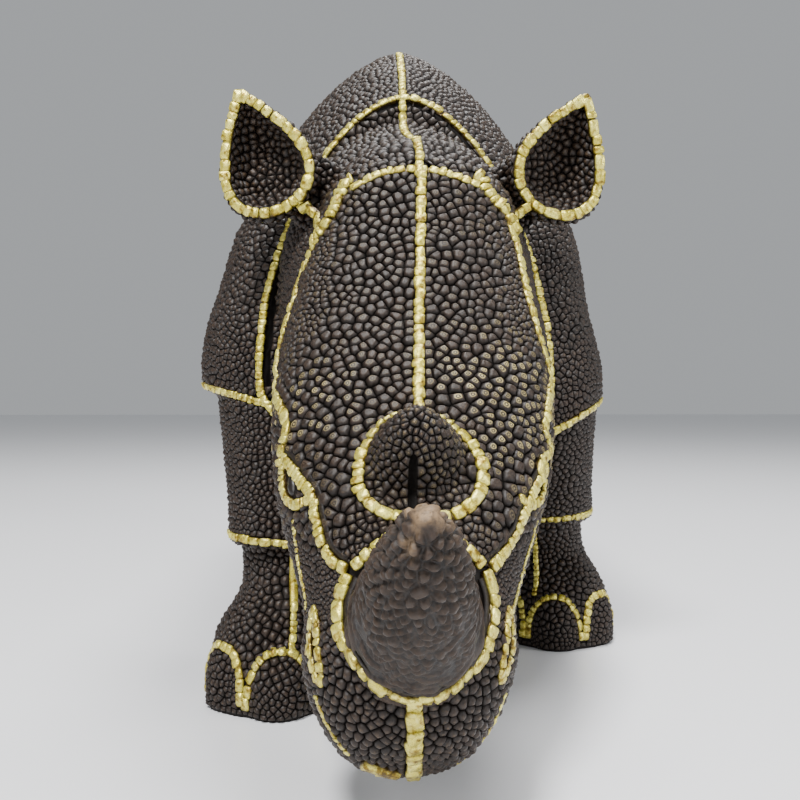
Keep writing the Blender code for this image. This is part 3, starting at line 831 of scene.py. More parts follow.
def leg_seams():
    """The cuff, the line down the front and the toes' arches of each leg."""
    for k, row in enumerate(LEGS):
        side, top_x, top_y, foot_x, foot_y, turn = row
        hind = k > 1
        x, y = leg_axis(row, hind, KNEE_Z)
        rise = 0.10 if side > 0 and not hind else -0.04
        cuff = loop(0, 0, KNEE_Z + 0.6, KNEE_RADIUS + 0.2, KNEE_RADIUS * 1.08, power=2.0, step=12)
        seam([(x + px, y + py, pz + rise * px) for px, py, pz in cuff], BODY_BEAD, closed=True)
        away = math.radians(-79 if side < 0 else -114)
        line = []
        for up in np.arange(19, 80, 6.0):
            x, y = leg_axis(row, hind, max(up, ANKLE_Z))
            reach = 22 if up > 26 else 24
            line.append((x + reach * math.cos(away), y + reach * math.sin(away), up))
        if side < 0:
            seam(line[2:], 2.7, high=0.22, flat=True, merge=1.0)
            seam(line[:3], 2.1)
        else:
            seam(line, 2.0)
        for toe in (-1, 0, 1):
            around = math.radians(-90 + TOE_SPREAD * toe + turn)
            reach = FOOT_RADIUS - TOE_RADIUS * 0.62
            size = TOE_RADIUS * 1.08
            outward = np.array((math.cos(around), math.sin(around), 0.0))
            aside = np.array((-math.sin(around), math.cos(around), 0.0))
            middle = np.array((foot_x, foot_y, 0.0)) + outward * (reach + size * 0.5)
            line = []
            for a in np.radians(np.arange(-8, 189, 14)):
                c = math.cos(a)
                wide = size * 1.04 * bowed(c, 0.72) - 1.9 * toe
                up = max(1.6, 3.2 + 14.8 * max(math.sin(a), 0.0) ** 0.85)
                line.append(middle + aside * wide + np.array((0, 0, up)))
            seam(line, 2.6, pitch=1.0, high=0.42)


back_seams()
face_seams()
ear_seams()
leg_seams()
hollows()

# Cells of the pebbled hide

ALONG, ASIDE, OUT = head_coords(P)


def clear_of(points, spots, half):
    """Gap from each point to the nearest spot, less that spot's half width."""
    find = tree_of(spots).find
    found = np.array([find(p)[1:] for p in points.tolist()])
    return found[:, 1] - half[found[:, 0].astype(int)]


def seam_distance():
    """Gap from each point of the skin to the nearest line, less the half width that it keeps clear."""
    spots = [s["spot"] for s in SEAMS + RIMS]
    keep = [np.full(len(s["spot"]), s["width"] * 0.34) for s in SEAMS]
    keep += [np.full(len(s["spot"]), 0.45) for s in RIMS]
    return clear_of(P, np.vstack(spots), np.concatenate(keep))


def ear_gap(points):
    """Gap from each point to the middle of the nearer ear."""
    return np.minimum(*[np.linalg.norm(points - ear_axes(side)[0], axis=1) for side in (-1, 1)])


def on_plate(along, aside, out):
    """Within the raised plate of the face."""
    edge = plate_edge(along / HEAD_LENGTH)
    return (along > -3) & (out > -24) & (np.abs(aside) < edge + 2) & (along < 108)


def in_front_ring(along, aside):
    """Inside the ring round the front horn, where the skin is bare."""
    low = np.clip((along - 116) / 19.5, 0, 1)
    half = 13.6 * np.sqrt(np.clip(1 - low**2.2, 0, 1)) * np.clip((along - 100) / 12, 0, 1)
    return (np.abs(aside - 0.5) < half) & (along < 135) & (along > 104)


def furrow_distance(points):
    """Gap from each point to the nearest furrow, less the furrow's half width."""
    lines = np.vstack([line for line, half in FURROWS])
    half = np.concatenate([np.full(len(line), half) for line, half in FURROWS])
    return clear_of(points, lines, half)


# Skin that has no pebbles: under the lines, in the furrows, on the soles, at the front horn and the eyes
bare = (seam_distance() < 0) | (furrow_distance(P) < 0) | (P[:, 2] < 0.5)
in_head = (ALONG > -3) & (OUT > -64) & (P[:, 1] < -92)
bare |= in_head & in_front_ring(ALONG, ASIDE) & (OUT > -6)
EYE_SPOTS = [seen([head_point(90, side * 26.2, -5.2)])[0][0] for side in (-1, 1)]
for spot in EYE_SPOTS:
    q = P - spot
    bare |= (q @ DOWN / 5.6) ** 2 + (np.linalg.norm(q - np.outer(q @ DOWN, DOWN), axis=1) / 2.9) ** 2 < 1

# How far apart the pebbles stand: wider to the rear and on top, closer on the front legs and below
spacing = 2.15 + 0.75 * np.clip((P[:, 1] + 40) / 50, 0, 1) + 0.1 * np.clip((P[:, 1] - 20) / 60, 0, 1)
spacing += 0.55 * np.clip((N[:, 2] - 0.1) * 3, 0, 1) * (P[:, 1] < -20)
spacing[(P[:, 2] < 82) & (P[:, 1] < 0)] -= 0.25
spacing *= 1 + 0.18 * (N[:, 2] < -0.4)
face_plate = on_plate(ALONG, ASIDE, OUT)
low_cheek = in_head & (ALONG > 94) & (ALONG < 121) & (OUT > -14) & ~face_plate
plate_sides = in_head & (ALONG > 12) & (ALONG < 52) & (np.abs(ASIDE) > 22) & (OUT > -14)
rear_horn = in_head & (OUT > 3.5) & (ALONG > 76) & (ALONG < 105) & (np.abs(ASIDE) < 14)
for zone, apart in (
    (in_head, 2.0),
    (face_plate, 2.75),
    (in_head & (ALONG > 104), 2.05),
    (low_cheek, 1.2),
    (plate_sides, 1.9),
    (ear_gap(P) < 23, 2.3),
    (rear_horn, 1.8),
):
    spacing[zone] = apart
spacing *= 0.82 + 0.38 * lattice(P, 3.0, 3)


def morton(points):
    """Order that keeps near places near each other."""
    q = ((points - points.min(0)) / np.ptp(points, axis=0).max() * 1023).astype(np.int64)
    code = np.zeros(len(q), np.int64)
    for bit in range(10):
        for axis in range(3):
            code |= (q[:, axis] >> bit & 1) << (3 * bit + axis)
    return np.argsort(code, kind="stable")


def first_centres():
    """Centres strewn along one winding line over the skin, each with its share of the area."""
    order = morton(P)
    weight = AREA * 1.1547 / spacing**2
    weight[bare] = 0
    total = np.cumsum(weight[order])
    marks = np.arange(0.5, total[-1] - 0.5, 1.0)
    marks = marks + RNG.uniform(-0.35, 0.35, len(marks))
    return P[order[np.searchsorted(total, marks)]]


def nearest(centres):
    """Index of the nearest centre for every point of the skin."""
    find = tree_of(centres).find
    return np.fromiter((find(p)[1] for p in P.tolist()), np.int32, len(P))


def sums(label, weight, values, count):
    """Weighted sum of places or directions for each label."""
    return np.stack([np.bincount(label, weight * values[:, k], minlength=count) for k in range(3)], axis=1)


def relax(centres, rounds):
    """Moves each centre to the middle of its cell."""
    mass = AREA / spacing**4
    mass[bare] = 0
    for _ in range(rounds):
        label = nearest(centres)
        total = np.bincount(label, mass, minlength=len(centres))
        keep = total > 0
        centres = sums(label, mass, P, len(centres))[keep] / total[keep, None]
    return centres


class Cells:
    """Cells of the skin: their centres, sizes, corners and the edges that go round each of them."""

    def __init__(self, centres):
        count = len(centres)
        label = nearest(centres)
        label[bare] = count
        self.count = count
        self.way = unit(sums(label, AREA, N, count + 1))
        self.size = np.sqrt(np.bincount(label, AREA, minlength=count + 1)[:count] * 1.1547)
        self.centre = np.vstack([on_skin(centres)[0], np.zeros((1, 3))])
        self.labels = label[T]
        self.find_corners()
        self.find_edges()

    def find_corners(self):
        """Places where three cells meet, set down into the crevices."""
        t = self.labels
        pick = (t[:, 0] != t[:, 1]) & (t[:, 1] != t[:, 2]) & (t[:, 0] != t[:, 2])
        self.three = t[pick]
        rough = P[T[pick]].mean(axis=1)
        a, b, c = (self.centre[self.three[:, k]] for k in range(3))
        ab, ac = b - a, c - a
        n = np.cross(ab, ac)
        size = 2 * np.maximum((n**2).sum(1), 1e-9)[:, None]
        lift = (ac**2).sum(1)[:, None] * np.cross(n, ab) + (ab**2).sum(1)[:, None] * np.cross(ac, n)
        middle = a + lift / size
        inner = self.three.max(axis=1) < self.count
        good = inner & (np.linalg.norm(middle - rough, axis=1) < 0.9)
        spot, skin_way = on_skin(np.where(good[:, None], middle, rough))
        way = unit(sum(self.way[self.three[:, k]] for k in range(3)))
        way = np.where(inner[:, None], way, skin_way)
        self.corner = spot + way * CREVICE

    def find_edges(self):
        """Pairs of corners that follow each other round a cell, anticlockwise seen from outside."""
        own = self.three.ravel()
        slot = np.flatnonzero(own < self.count)
        own = own[slot]
        arm = self.corner[slot // 3] - self.centre[own]
        up = self.way[own]
        east = unit(np.cross(up, np.array((0.31, 0.52, 0.79))))
        north = np.cross(up, east)
        angle = np.arctan2((arm * north).sum(1), (arm * east).sum(1))
        order = np.lexsort((angle, own))
        own, slot = own[order], slot[order]
        first = np.searchsorted(own, own, side="left")
        last = np.searchsorted(own, own, side="right") - 1
        at = np.arange(len(own))
        after = np.where(at == last, first, at + 1)
        self.owner = own
        self.start = slot
        self.end = slot[after]
        self.whole = np.bincount(own, minlength=self.count) > 2

    def stones(self, chosen, profile, rise, double):
        """Rounded stones over the chosen cells.

        The profile lists shares out from the top with their share of the height. With double
        set, each side of a cell has one more point in its middle.
        """
        pick = chosen[self.owner]
        own, s0, s1 = self.owner[pick], self.start[pick], self.end[pick]
        slots, back = np.unique(np.concatenate([s0, s1]), return_inverse=True)
        s0, s1 = back[: len(s0)], back[len(s0) :]
        cells, own = np.unique(own, return_inverse=True)
        corners, cut = np.unique(slots // 3, return_inverse=True)
        rim = self.corner[slots // 3]
        rim_cell = self.three.ravel()[slots]
        outer = cut
        outer_spots = self.corner[corners]
        a, b = s0, s1
        own_side = own
        if double:
            middle = (rim[s0] + rim[s1]) / 2
            low, high = np.minimum(cut[s0], cut[s1]), np.maximum(cut[s0], cut[s1])
            pairs, side = np.unique(low * len(corners) + high, return_inverse=True)
            between = (outer_spots[pairs // len(corners)] + outer_spots[pairs % len(corners)]) / 2
            outer_spots = np.vstack([outer_spots, between])
            extra = len(rim) + np.arange(len(s0))
            rim = np.vstack([rim, middle])
            rim_cell = np.concatenate([rim_cell, cells[own]])
            outer = np.concatenate([outer, len(corners) + side])
            a, b = np.concatenate([s0, extra]), np.concatenate([extra, s1])
            own_side = np.concatenate([own, own])
        mid = self.centre[rim_cell]
        up = self.way[rim_cell]
        tall = (self.size * rise)[rim_cell][:, None]
        arm = rim - mid
        reach = np.linalg.norm(arm, axis=1)
        shared = np.maximum(np.bincount(rim_cell, minlength=self.count), 1)
        mean = np.bincount(rim_cell, reach, minlength=self.count) / shared
        even = np.minimum(1.0, mean[rim_cell] * 0.92 / reach)
        tops = self.centre[cells] + self.way[cells] * (self.size * rise)[cells][:, None] * profile[0][1]
        blocks = [tops]
        # The share of the height at each point also sets the painted shade of the crevices in the resin.
        high = [np.full(len(cells), profile[0][1])]
        dist = [np.zeros(len(cells))]
        at = len(cells)
        rings = []
        for share, level in profile[1:]:
            blocks.append(mid + arm * (share * even)[:, None] + up * tall * level)
            high.append(np.full(len(rim), level))
            dist.append(np.full(len(rim), share))
            rings.append(at)
            at += len(rim)
        blocks.append(outer_spots)
        high.append(np.zeros(len(outer_spots)))
        dist.append(np.ones(len(outer_spots)))
        tri = [np.stack([own_side, rings[0] + a, rings[0] + b], axis=1)]
        for r0, r1 in zip(rings, rings[1:]):
            tri.append(np.stack([r0 + a, r1 + a, r1 + b], axis=1))
            tri.append(np.stack([r0 + a, r1 + b, r0 + b], axis=1))
        last = rings[-1]
        tri.append(np.stack([last + a, at + outer[a], at + outer[b]], axis=1))
        tri.append(np.stack([last + a, at + outer[b], last + b], axis=1))
        cell = np.concatenate([cells[own_side]] * len(tri))
        points = np.vstack(blocks)
        points[:, 2] = np.maximum(points[:, 2], 0.02)
        return points, np.vstack(tri), np.concatenate(high), np.concatenate(dist), cell, at


cells = Cells(relax(first_centres(), 3))


def build(name, points, tri, material, point_values={}, face_values={}, sharp_from=None):
    """Adds a shown piece from arrays in steps, which stands for the figure and rides with it."""
    mesh = bpy.data.meshes.new(name)
    place = ((points - MIDDLE) * STEP).astype(np.float32)
    mesh.vertices.add(len(place))
    mesh.vertices.foreach_set("co", place.ravel())
    mesh.loops.add(len(tri) * 3)
    mesh.loops.foreach_set("vertex_index", np.ascontiguousarray(tri, dtype=np.int32).ravel())
    mesh.polygons.add(len(tri))
    mesh.polygons.foreach_set("loop_start", np.arange(0, len(tri) * 3, 3, dtype=np.int32))
    mesh.update(calc_edges=True)
    mesh.polygons.foreach_set("use_smooth", np.ones(len(mesh.polygons), bool))
    for domain, layers in (("POINT", point_values), ("FACE", face_values)):
        for key, values in layers.items():
            layer = mesh.attributes.new(key, "FLOAT", domain)
            layer.data.foreach_set("value", values.astype(np.float32))
    if sharp_from is not None:
        pair = np.empty(len(mesh.edges) * 2, np.int32)
        mesh.edges.foreach_get("vertices", pair)
        sharp = (pair.reshape(-1, 2) >= sharp_from).all(axis=1)
        layer = mesh.attributes.new("sharp_edge", "BOOLEAN", "EDGE")
        layer.data.foreach_set("value", sharp)
    mesh.materials.append(material)
    obj = placed(name, mesh)
    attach(obj, "root")
    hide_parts("rhinoceros")


# Materials


def colour(r, g, b):
    """Linear values of a display colour given from 0 to 255."""
    out = []
    for v in (r, g, b):
        v /= 255
        out.append(v / 12.92 if v < 0.04045 else ((v + 0.055) / 1.055) ** 2.4)
    return (*out, 1.0)


class Nodes:
    """Short ways to add and join the nodes of one material."""

    def __init__(self, name):
        self.material = bpy.data.materials.new(name)
        self.material.use_nodes = True
        self.tree = self.material.node_tree
        self.shader = self.tree.nodes["Principled BSDF"]

    def add(self, kind, inputs=(), **settings):
        """A new node with its inputs and settings."""
        node = self.tree.nodes.new(kind)
        for key, value in settings.items():
            setattr(node, key, value)
        for key, value in dict(inputs).items():
            self.put(node.inputs[key], value)
        return node

    def put(self, socket, value):
        """Joins another node's output to the socket, or sets its value."""
        if isinstance(value, bpy.types.NodeSocket):
            self.tree.links.new(value, socket)
        else:
            socket.default_value = value

    def value(self, name):
        """A value that the mesh carries under this name."""
        return self.add("ShaderNodeAttribute", attribute_name=name).outputs["Fac"]

    def math(self, kind, a, b=0.0):
        """The result of one sum of two values."""
        return self.add("ShaderNodeMath", {0: a, 1: b}, operation=kind).outputs[0]

    def band(self, value, low, high, a=0.0, b=1.0):
        """The value turned from the range low to high into the range a to b."""
        sockets = {"Value": value, "From Min": low, "From Max": high, "To Min": a, "To Max": b}
        return self.add("ShaderNodeMapRange", sockets).outputs["Result"]

    def noise(self, scale, detail=3.0, rough=0.5):
        """Cloudy values fixed to the figure."""
        place = self.add("ShaderNodeTexCoord").outputs["Object"]
        sockets = {"Vector": place, "Scale": scale, "Detail": detail, "Roughness": rough}
        return self.add("ShaderNodeTexNoise", sockets).outputs["Fac"]

    def mix(self, share, a, b):
        """The colour between a and b at this share."""
        node = self.add("ShaderNodeMix", {"Factor": share, 6: a, 7: b}, data_type="RGBA")
        return node.outputs[2]

    def bump(self, height, strength, distance):
        """Fine relief of the look."""
        node = self.add("ShaderNodeBump", {"Height": height, "Strength": strength, "Distance": distance})
        self.put(self.shader.inputs["Normal"], node.outputs["Normal"])

    def set(self, **values):
        """Sets or joins inputs of the shader by name."""
        for key, value in values.items():
            self.put(self.shader.inputs[key.replace("_", " ")], value)


def resin_material():
    """Dark resin: painted shade in the crevices and in a ring on each pebble, rubbed on the tips, with painted
    highlights of pale gilt on the face pebbles.
    """
    m = Nodes("dark_resin")
    high = m.value("high")
    seed = m.value("seed")
    rub = m.value("rub")
    face_glint = m.value("face_glint")
    dist = m.value("dist")
    fine = m.noise(2600.0, 4.0, 0.65)
    broad = m.noise(60.0, 3.0, 0.55)
    body = m.mix(m.band(seed, 0.0, 1.0), colour(24, 16, 11), colour(43, 30, 21))
    body = m.mix(m.band(broad, 0.35, 0.7, 0.0, 0.5), body, colour(31, 22, 17))
    body = m.mix(m.band(fine, 0.5, 0.75, 0.0, 0.5), body, colour(68, 52, 38))
    # Painted shade: the resin goes nearly black where the height value is low, in the crevices between the
    # pebbles and on the bare skin.
    body = m.mix(m.band(high, 0.1, 0.8, 1.0, 0.0), body, colour(6, 4, 3))
    tips = m.math("MULTIPLY", m.band(high, 0.8, 1.02), m.band(fine, 0.35, 0.6))
    body = m.mix(m.math("MULTIPLY", tips, rub), body, colour(120, 98, 74))
    ringed = m.band(m.math("ABSOLUTE", m.math("SUBTRACT", dist, 0.44)), 0.14, 0.04)
    dot = m.math("MAXIMUM", m.band(dist, 0.20, 0.08), m.math("MULTIPLY", ringed, 0.6))
    # Painted shade: a dark ring round the middle of every pebble stands for the shade of a ring groove.
    body = m.mix(m.math("MULTIPLY", ringed, 0.4), body, colour(10, 6, 4))
    # Painted highlights: pale gilt on the dots and rings of the face pebbles.
    glint_spots = m.math("MULTIPLY", dot, face_glint)
    body = m.mix(m.math("MULTIPLY", glint_spots, m.band(fine, 0.3, 0.5)), body, colour(206, 188, 128))
    deep = m.band(high, 0.05, 0.55, 1.0, 0.0)
    rough = m.math("ADD", m.band(fine, 0.3, 0.8, 0.37, 0.57), m.math("MULTIPLY", deep, 0.4))
    m.set(Base_Color=body, Roughness=rough, Metallic=0.0)
    m.set(Specular_IOR_Level=m.band(deep, 0.0, 1.0, 0.34, 0.04))
    m.bump(fine, 0.35, 0.0003)
    return m.material


def gilt_material():
    """Pale gold paint: painted shade low on each bead and in the gaps of its lines, standing also for dark
    paint in those gaps, painted highlight flecks and worn blots.
    """
    m = Nodes("gilt")
    high = m.value("high")
    seed = m.value("seed")
    dirt = m.value("dirt")
    fine = m.noise(1500.0, 4.0, 0.6)
    blot = m.math("ADD", m.noise(620.0, 3.0, 0.6), m.math("MULTIPLY", dirt, 0.3))
    gold = m.mix(seed, colour(188, 174, 58), colour(230, 220, 112))
    # Painted highlights: pale lemon flecks spread over the gold by the fine noise.
    gold = m.mix(m.band(fine, 0.5, 0.75, 0.0, 0.6), gold, colour(242, 236, 160))
    gold = m.mix(m.band(blot, 0.50, 0.64), gold, colour(146, 122, 34))
    gold = m.mix(m.band(blot, 0.64, 0.74, 0.0, 0.85), gold, colour(72, 54, 22))
    # Painted shade: the gold darkens low on each bead and where the band is cut down in a gap.
    gold = m.mix(m.band(high, 0.15, 0.72, 1.0, 0.0), gold, colour(66, 50, 16))
    m.set(Base_Color=gold, Roughness=m.band(fine, 0.3, 0.75, 0.22, 0.42))
    m.set(Metallic=0.55, Specular_IOR_Level=0.5)
    m.bump(fine, 0.5, 0.0003)
    return m.material


def horn_material():
    """Dull brown resin with painted shade between its lumps and lines and in its groove, rubbed to tan at the
    tip.
    """
    m = Nodes("horn")
    high = m.value("high")
    tip = m.value("tip")
    fine = m.noise(1800.0, 4.0, 0.6)
    broad = m.noise(160.0, 3.0, 0.55)
    # Painted shade: dark where the horn's relief is low, between its lumps and cross lines.
    body = m.mix(m.band(high, 0.1, 0.9), colour(9, 6, 4), colour(49, 37, 28))
    body = m.mix(m.band(broad, 0.4, 0.7, 0.0, 0.4), body, colour(42, 34, 29))
    body = m.mix(m.band(fine, 0.45, 0.75, 0.0, 0.45), body, colour(80, 64, 50))
    worn = m.math("MULTIPLY", tip, m.band(fine, 0.3, 0.55, 0.35, 1.0))
    body = m.mix(worn, body, colour(134, 110, 82))
    m.set(Base_Color=body, Roughness=m.band(fine, 0.3, 0.8, 0.45, 0.7), Metallic=0.0, Specular_IOR_Level=0.3)
    m.bump(fine, 0.4, 0.0003)
    return m.material


def eye_material():
    """Nearly black resin with a soft gloss."""
    m = Nodes("eye_resin")
    fine = m.noise(900.0, 2.0)
    m.set(Base_Color=m.mix(fine, colour(10, 8, 7), colour(30, 22, 17)))
    m.set(Roughness=m.band(fine, 0.3, 0.8, 0.25, 0.4))
    m.bump(fine, 0.1, 0.0001)
    return m.material


RESIN = resin_material()
GILT = gilt_material()
HORN = horn_material()
EYE = eye_material()

# Where the body's pieces end, from the neck to the rump
HEAD_END, SHOULDERS_END, CHEST_END, LOIN_END = -86, -34, 40, 108


def hide_pieces():
    """The pebbled hide, in pieces from the face to the rump."""
    count = cells.count
    c = cells.centre[:count]
    along, aside, out = head_coords(c)
    y = c[:, 1]
    seed = RNG.random(count)
    spread = lattice(c, 9.0, 8)
    # Painted highlights on the face pebbles, strongest on the +x side of the face plate: the glint share of
    # each cell.
    right = np.clip((aside + 4) / 18, 0, 1) * np.clip(1 - np.abs(along - 72) / 26, 0, 1)
    left = np.clip((-aside - 8) / 14, 0, 1) * np.clip(1 - np.abs(along - 72) / 14, 0, 1) * 0.7
    face_glint = np.clip(np.maximum(right, left) * 1.4 + 0.12, 0, 1) * on_plate(along, aside, out)
    face_glint = face_glint * (0.35 + 0.65 * RNG.random(count)) * (RNG.random(count) < 0.45 + 0.5 * right)
    rub = 0.15 + 0.5 * spread * RNG.random(count)
    rub[(out > 12.5) & (along > 76) & (along < 100) & (np.abs(aside) < 8)] = 1.0
    rise = 0.32 * (0.8 + 0.45 * RNG.random(count))
    rise[cells.size < 1.5] *= 0.8
    face = on_plate(along, aside, out) & (y < -100) & (out < 3.5)
    ear = ear_gap(c) < 24
    muzzle = ~face & ~ear & (along > 100) & (y < -140)
    body = ~face & ~ear & ~muzzle
    dome = [(0, 1.0), (0.70, 0.74)]
    groups = (
        ("face", face, [(0, 1.02), (0.22, 0.72), (0.46, 1.0), (0.84, 0.58)], True),
        ("ears", ear, [(0, 1.0), (0.44, 0.92), (0.80, 0.56)], True),
        ("muzzle", muzzle, [(0, 1.0), (0.45, 0.93), (0.80, 0.55)], False),
        ("head", body & (y < HEAD_END), dome, False),
        ("shoulders", body & (y >= HEAD_END) & (y < SHOULDERS_END), dome, False),
        ("chest", ~ear & (y >= SHOULDERS_END) & (y < CHEST_END), dome, False),
        ("loin", (y >= CHEST_END) & (y < LOIN_END), dome, False),
        ("rump", y >= LOIN_END, dome, False),
    )
    for name, chosen, profile, double in groups:
        points, tri, high, dist, cell, edge = cells.stones(chosen & cells.whole, profile, rise, double)
        values = {"high": high, "dist": dist}
        faces = {"seed": seed[cell], "rub": rub[cell], "face_glint": face_glint[cell]}
        build("pebbles_" + name, points, tri, RESIN, values, faces, sharp_from=edge)


def thinned(points, tri, ratio):
    """The same skin with fewer triangles."""
    mesh = bpy.data.meshes.new("thin")
    mesh.from_pydata(points.tolist(), [], tri.tolist())
    obj = placed("thin", mesh)
    obj.modifiers.new("thin", "DECIMATE").ratio = ratio
    return settled(obj)


def skin_piece():
    """Plain skin on the soles, under the lines and wherever no stone covers the figure."""
    open_cell = np.append(~cells.whole, True)
    near = np.zeros(len(P), bool)
    near[T[open_cell[cells.labels].any(axis=1)].ravel()] = True
    pick = near[T].any(axis=1) & (P[T][:, :, 2].max(axis=1) > -0.2)
    used, tri = np.unique(T[pick], return_inverse=True)
    deep = np.clip(1 - furrow_distance(P[used]) / 0.5, 0, 1) * 0.55
    under = P[used] + N[used] * (CREVICE - 0.12 - deep)[:, None]
    under[:, 2] = np.maximum(under[:, 2], 0.0)
    under, tri = thinned(under, tri.reshape(-1, 3), 0.30)
    # Painted shade: the bare skin's height value stays low, so the resin is painted nearly black on it,
    # blackest in the furrows.
    flat = 0.35 * np.clip(furrow_distance(under) / 0.8, 0, 1)
    build("skin", under, tri, RESIN, {"high": flat, "dist": np.ones(len(flat))})


def grid_faces(points, faces):
    """Triangles of a closed skin of three and four sided faces, turned to face outward."""
    out = [f[:3] for f in faces]
    out += [(f[0], f[2], f[3]) for f in faces if len(f) == 4]
    tri = np.array(out)
    q = points - points.mean(axis=0)
    volume = (np.cross(q[tri[:, 0]], q[tri[:, 1]]) * q[tri[:, 2]]).sum()
    return tri if volume > 0 else tri[:, ::-1]


def border_gap(points, middles):
    """How much farther off the second nearest stone's middle is than the nearest one's."""
    find = tree_of(middles).find_n
    return np.array([far[2] - near[2] for near, far in (find(p, 2) for p in points.tolist())])


def stones_round(theta, s, lap, rise, seed):
    """Gap to the border of the own stone, for stones strewn round a cylinder."""
    rng = np.random.default_rng(seed)
    round_up = 2 * math.pi * HORN_GIRTH / lap
    girth = round_up / 6.283
    tall = s.max() / rise
    count = int(round_up * tall)
    turn = rng.random(count) * 2 * math.pi
    middles = np.stack([np.cos(turn) * girth, np.sin(turn) * girth, rng.random(count) * tall], axis=1)
    return border_gap(np.stack([np.cos(theta) * girth, np.sin(theta) * girth, s / rise], axis=1), middles)


def stones_on(points, area, apart, seed):
    """Gap to the border of the own stone, for stones strewn evenly on a skin."""
    rng = np.random.default_rng(seed)
    spots = points[rng.choice(len(points), 6000, p=area / area.sum())]
    kept = spots[:1]
    for spot in spots[1:]:
        if ((kept - spot) ** 2).sum(axis=1).min() > (0.8 * apart) ** 2:
            kept = np.vstack([kept, spot])
    return border_gap(points, kept) / apart


# Half of the front horn's width where its cross lines are
HORN_GIRTH = 10.5


def horn_piece():
    """The front horn: small lumps above, wavy cross lines below and a worn blunt tip."""
    rows, spokes = 190, 156
    points, faces = horn(*FRONT_HORN, rows=rows, around=spokes)
    points = np.array(points)
    tri = grid_faces(points, faces)
    n, area = point_normals(points, tri)
    ring = np.minimum(np.arange(len(points)) // spokes, rows)
    t = 1 - (1 - ring / rows) ** 1.6
    t[-2], t[-1] = 0, 1
    theta = np.arange(len(points)) % spokes * 2 * math.pi / spokes
    s = t * (FRONT_HORN_LENGTH + 5)
    sway = theta + 0.14 * np.sin(t * 7 + 1.0) + 0.25 * (lattice(points, 7.0, 25) - 0.5)
    wave = s + 0.9 * np.sin(theta * 5 + 2.0) + 2.4 * (lattice(points, 5.0, 21) - 0.5)
    lump = np.clip((stones_on(points, area, 1.9, 31) - 0.12) / 0.55, 0, 1)
    line = np.clip((stones_round(sway, wave, 5.0, 1.5, 32) - 0.08) / 0.45, 0, 1)
    upper = np.clip((t - 0.30 + 0.4 * (lattice(points, 6.0, 22) - 0.5)) / 0.25, 0, 1)
    high = line * (1 - upper) + lump * upper
    blunt = np.clip((1 - t) / 0.05, 0, 1)
    tall = (0.65 * (1 - upper) + 0.95 * upper) * blunt
    rough = 0.7 * (lattice(points, 3.0, 23) - 0.5) + 1.0 * (1 - blunt) * lattice(points, 1.5, 26)
    moved = points + n * (tall * high + rough - 0.1)[:, None]
    high = high * blunt + (1 - blunt) * 0.8
    groove = np.exp(-(((theta - math.pi * 1.5 - 0.04) * 11 / 0.8) ** 2))
    groove *= np.clip((t - 0.12) * 3, 0, 1) * (t < 0.82)
    moved -= n * (0.6 * groove)[:, None]
    # The groove also lowers the height value, which paints shade into it.
    high = high * (1 - 0.8 * groove)
    tip = np.clip((t - 0.93 + 0.16 * (lattice(points, 2.2, 24) - 0.5)) / 0.10, 0, 1)
    build("front_horn", moved, tri, HORN, {"high": high, "tip": tip})


def bead_form(around, levels):
    """One rounded block, from -1 to 1 across and 0 to 1 up, with its triangles."""
    rows = []
    angle = (np.arange(around) + 0.5) * 2 * math.pi / around
    c, s = np.cos(angle), np.sin(angle)
    for level in levels:
        a = math.radians(level)
        reach = max(math.cos(a), 0.0) ** 0.45
        up = math.sin(a) ** 0.7 if level > 0 else 0.0
        rows.append(np.stack([bowed(c, 0.42) * reach, bowed(s, 0.42) * reach, np.full(around, up)], axis=1))
    rows.insert(0, rows[0] * np.array((0.9, 0.9, 1)) - np.array((0, 0, 0.5)))
    points = np.vstack(rows + [np.array([[0, 0, 1.0]])])
    tri = []
    for r in range(len(rows) - 1):
        for k in range(around):
            j = (k + 1) % around
            a, b = r * around, (r + 1) * around
            tri += [(a + k, a + j, b + j), (a + k, b + j, b + k)]
    last = (len(rows) - 1) * around
    for k in range(around):
        tri.append((last + k, last + (k + 1) % around, len(points) - 1))
    return points, np.array(tri)


def run_of(s):
    """The line, its directions and the length run at each point, closed where the line is."""
    spot, way = s["spot"], s["way"]
    if s["closed"]:
        spot = np.vstack([spot, spot[:1]])
        way = np.vstack([way, way[:1]])
    run = np.concatenate([[0], np.cumsum(np.linalg.norm(np.diff(spot, axis=0), axis=1))])
    return spot, way, run


def lay_beads(s):
    """Places, frames and sizes of the beads of one line; notes where it has an open gap."""
    spot, way, run = run_of(s)
    out = []
    at = 0.0

    def look(values, place):
        place = min(max(place, 0.0), run[-1])
        return np.array([np.interp(place, run, values[:, k]) for k in range(3)])

    while at < run[-1] - 0.3 * s["pitch"]:
        long = s["pitch"] * RNG.choice([0.7, 0.9, 1.1, 1.4]) * RNG.uniform(0.9, 1.1)
        gap = RNG.choice([-0.10, -0.03, 0.05, 0.30], p=[0.35, 0.33, 0.20, 0.12])
        middle = at + long / 2
        t = unit(look(spot, middle + 0.8) - look(spot, middle - 0.8))
        wide = s["width"] * RNG.uniform(0.88, 1.1)
        high = s["high"] * RNG.uniform(0.85, 1.2)
        out.append((look(spot, middle), unit(look(way, middle)), t, long, wide, high))
        if gap > 0.1:
            s["gaps"].append(at + long + 0.5 * gap)
            at += long + gap
        else:
            at += long * (1 + gap)
    return out


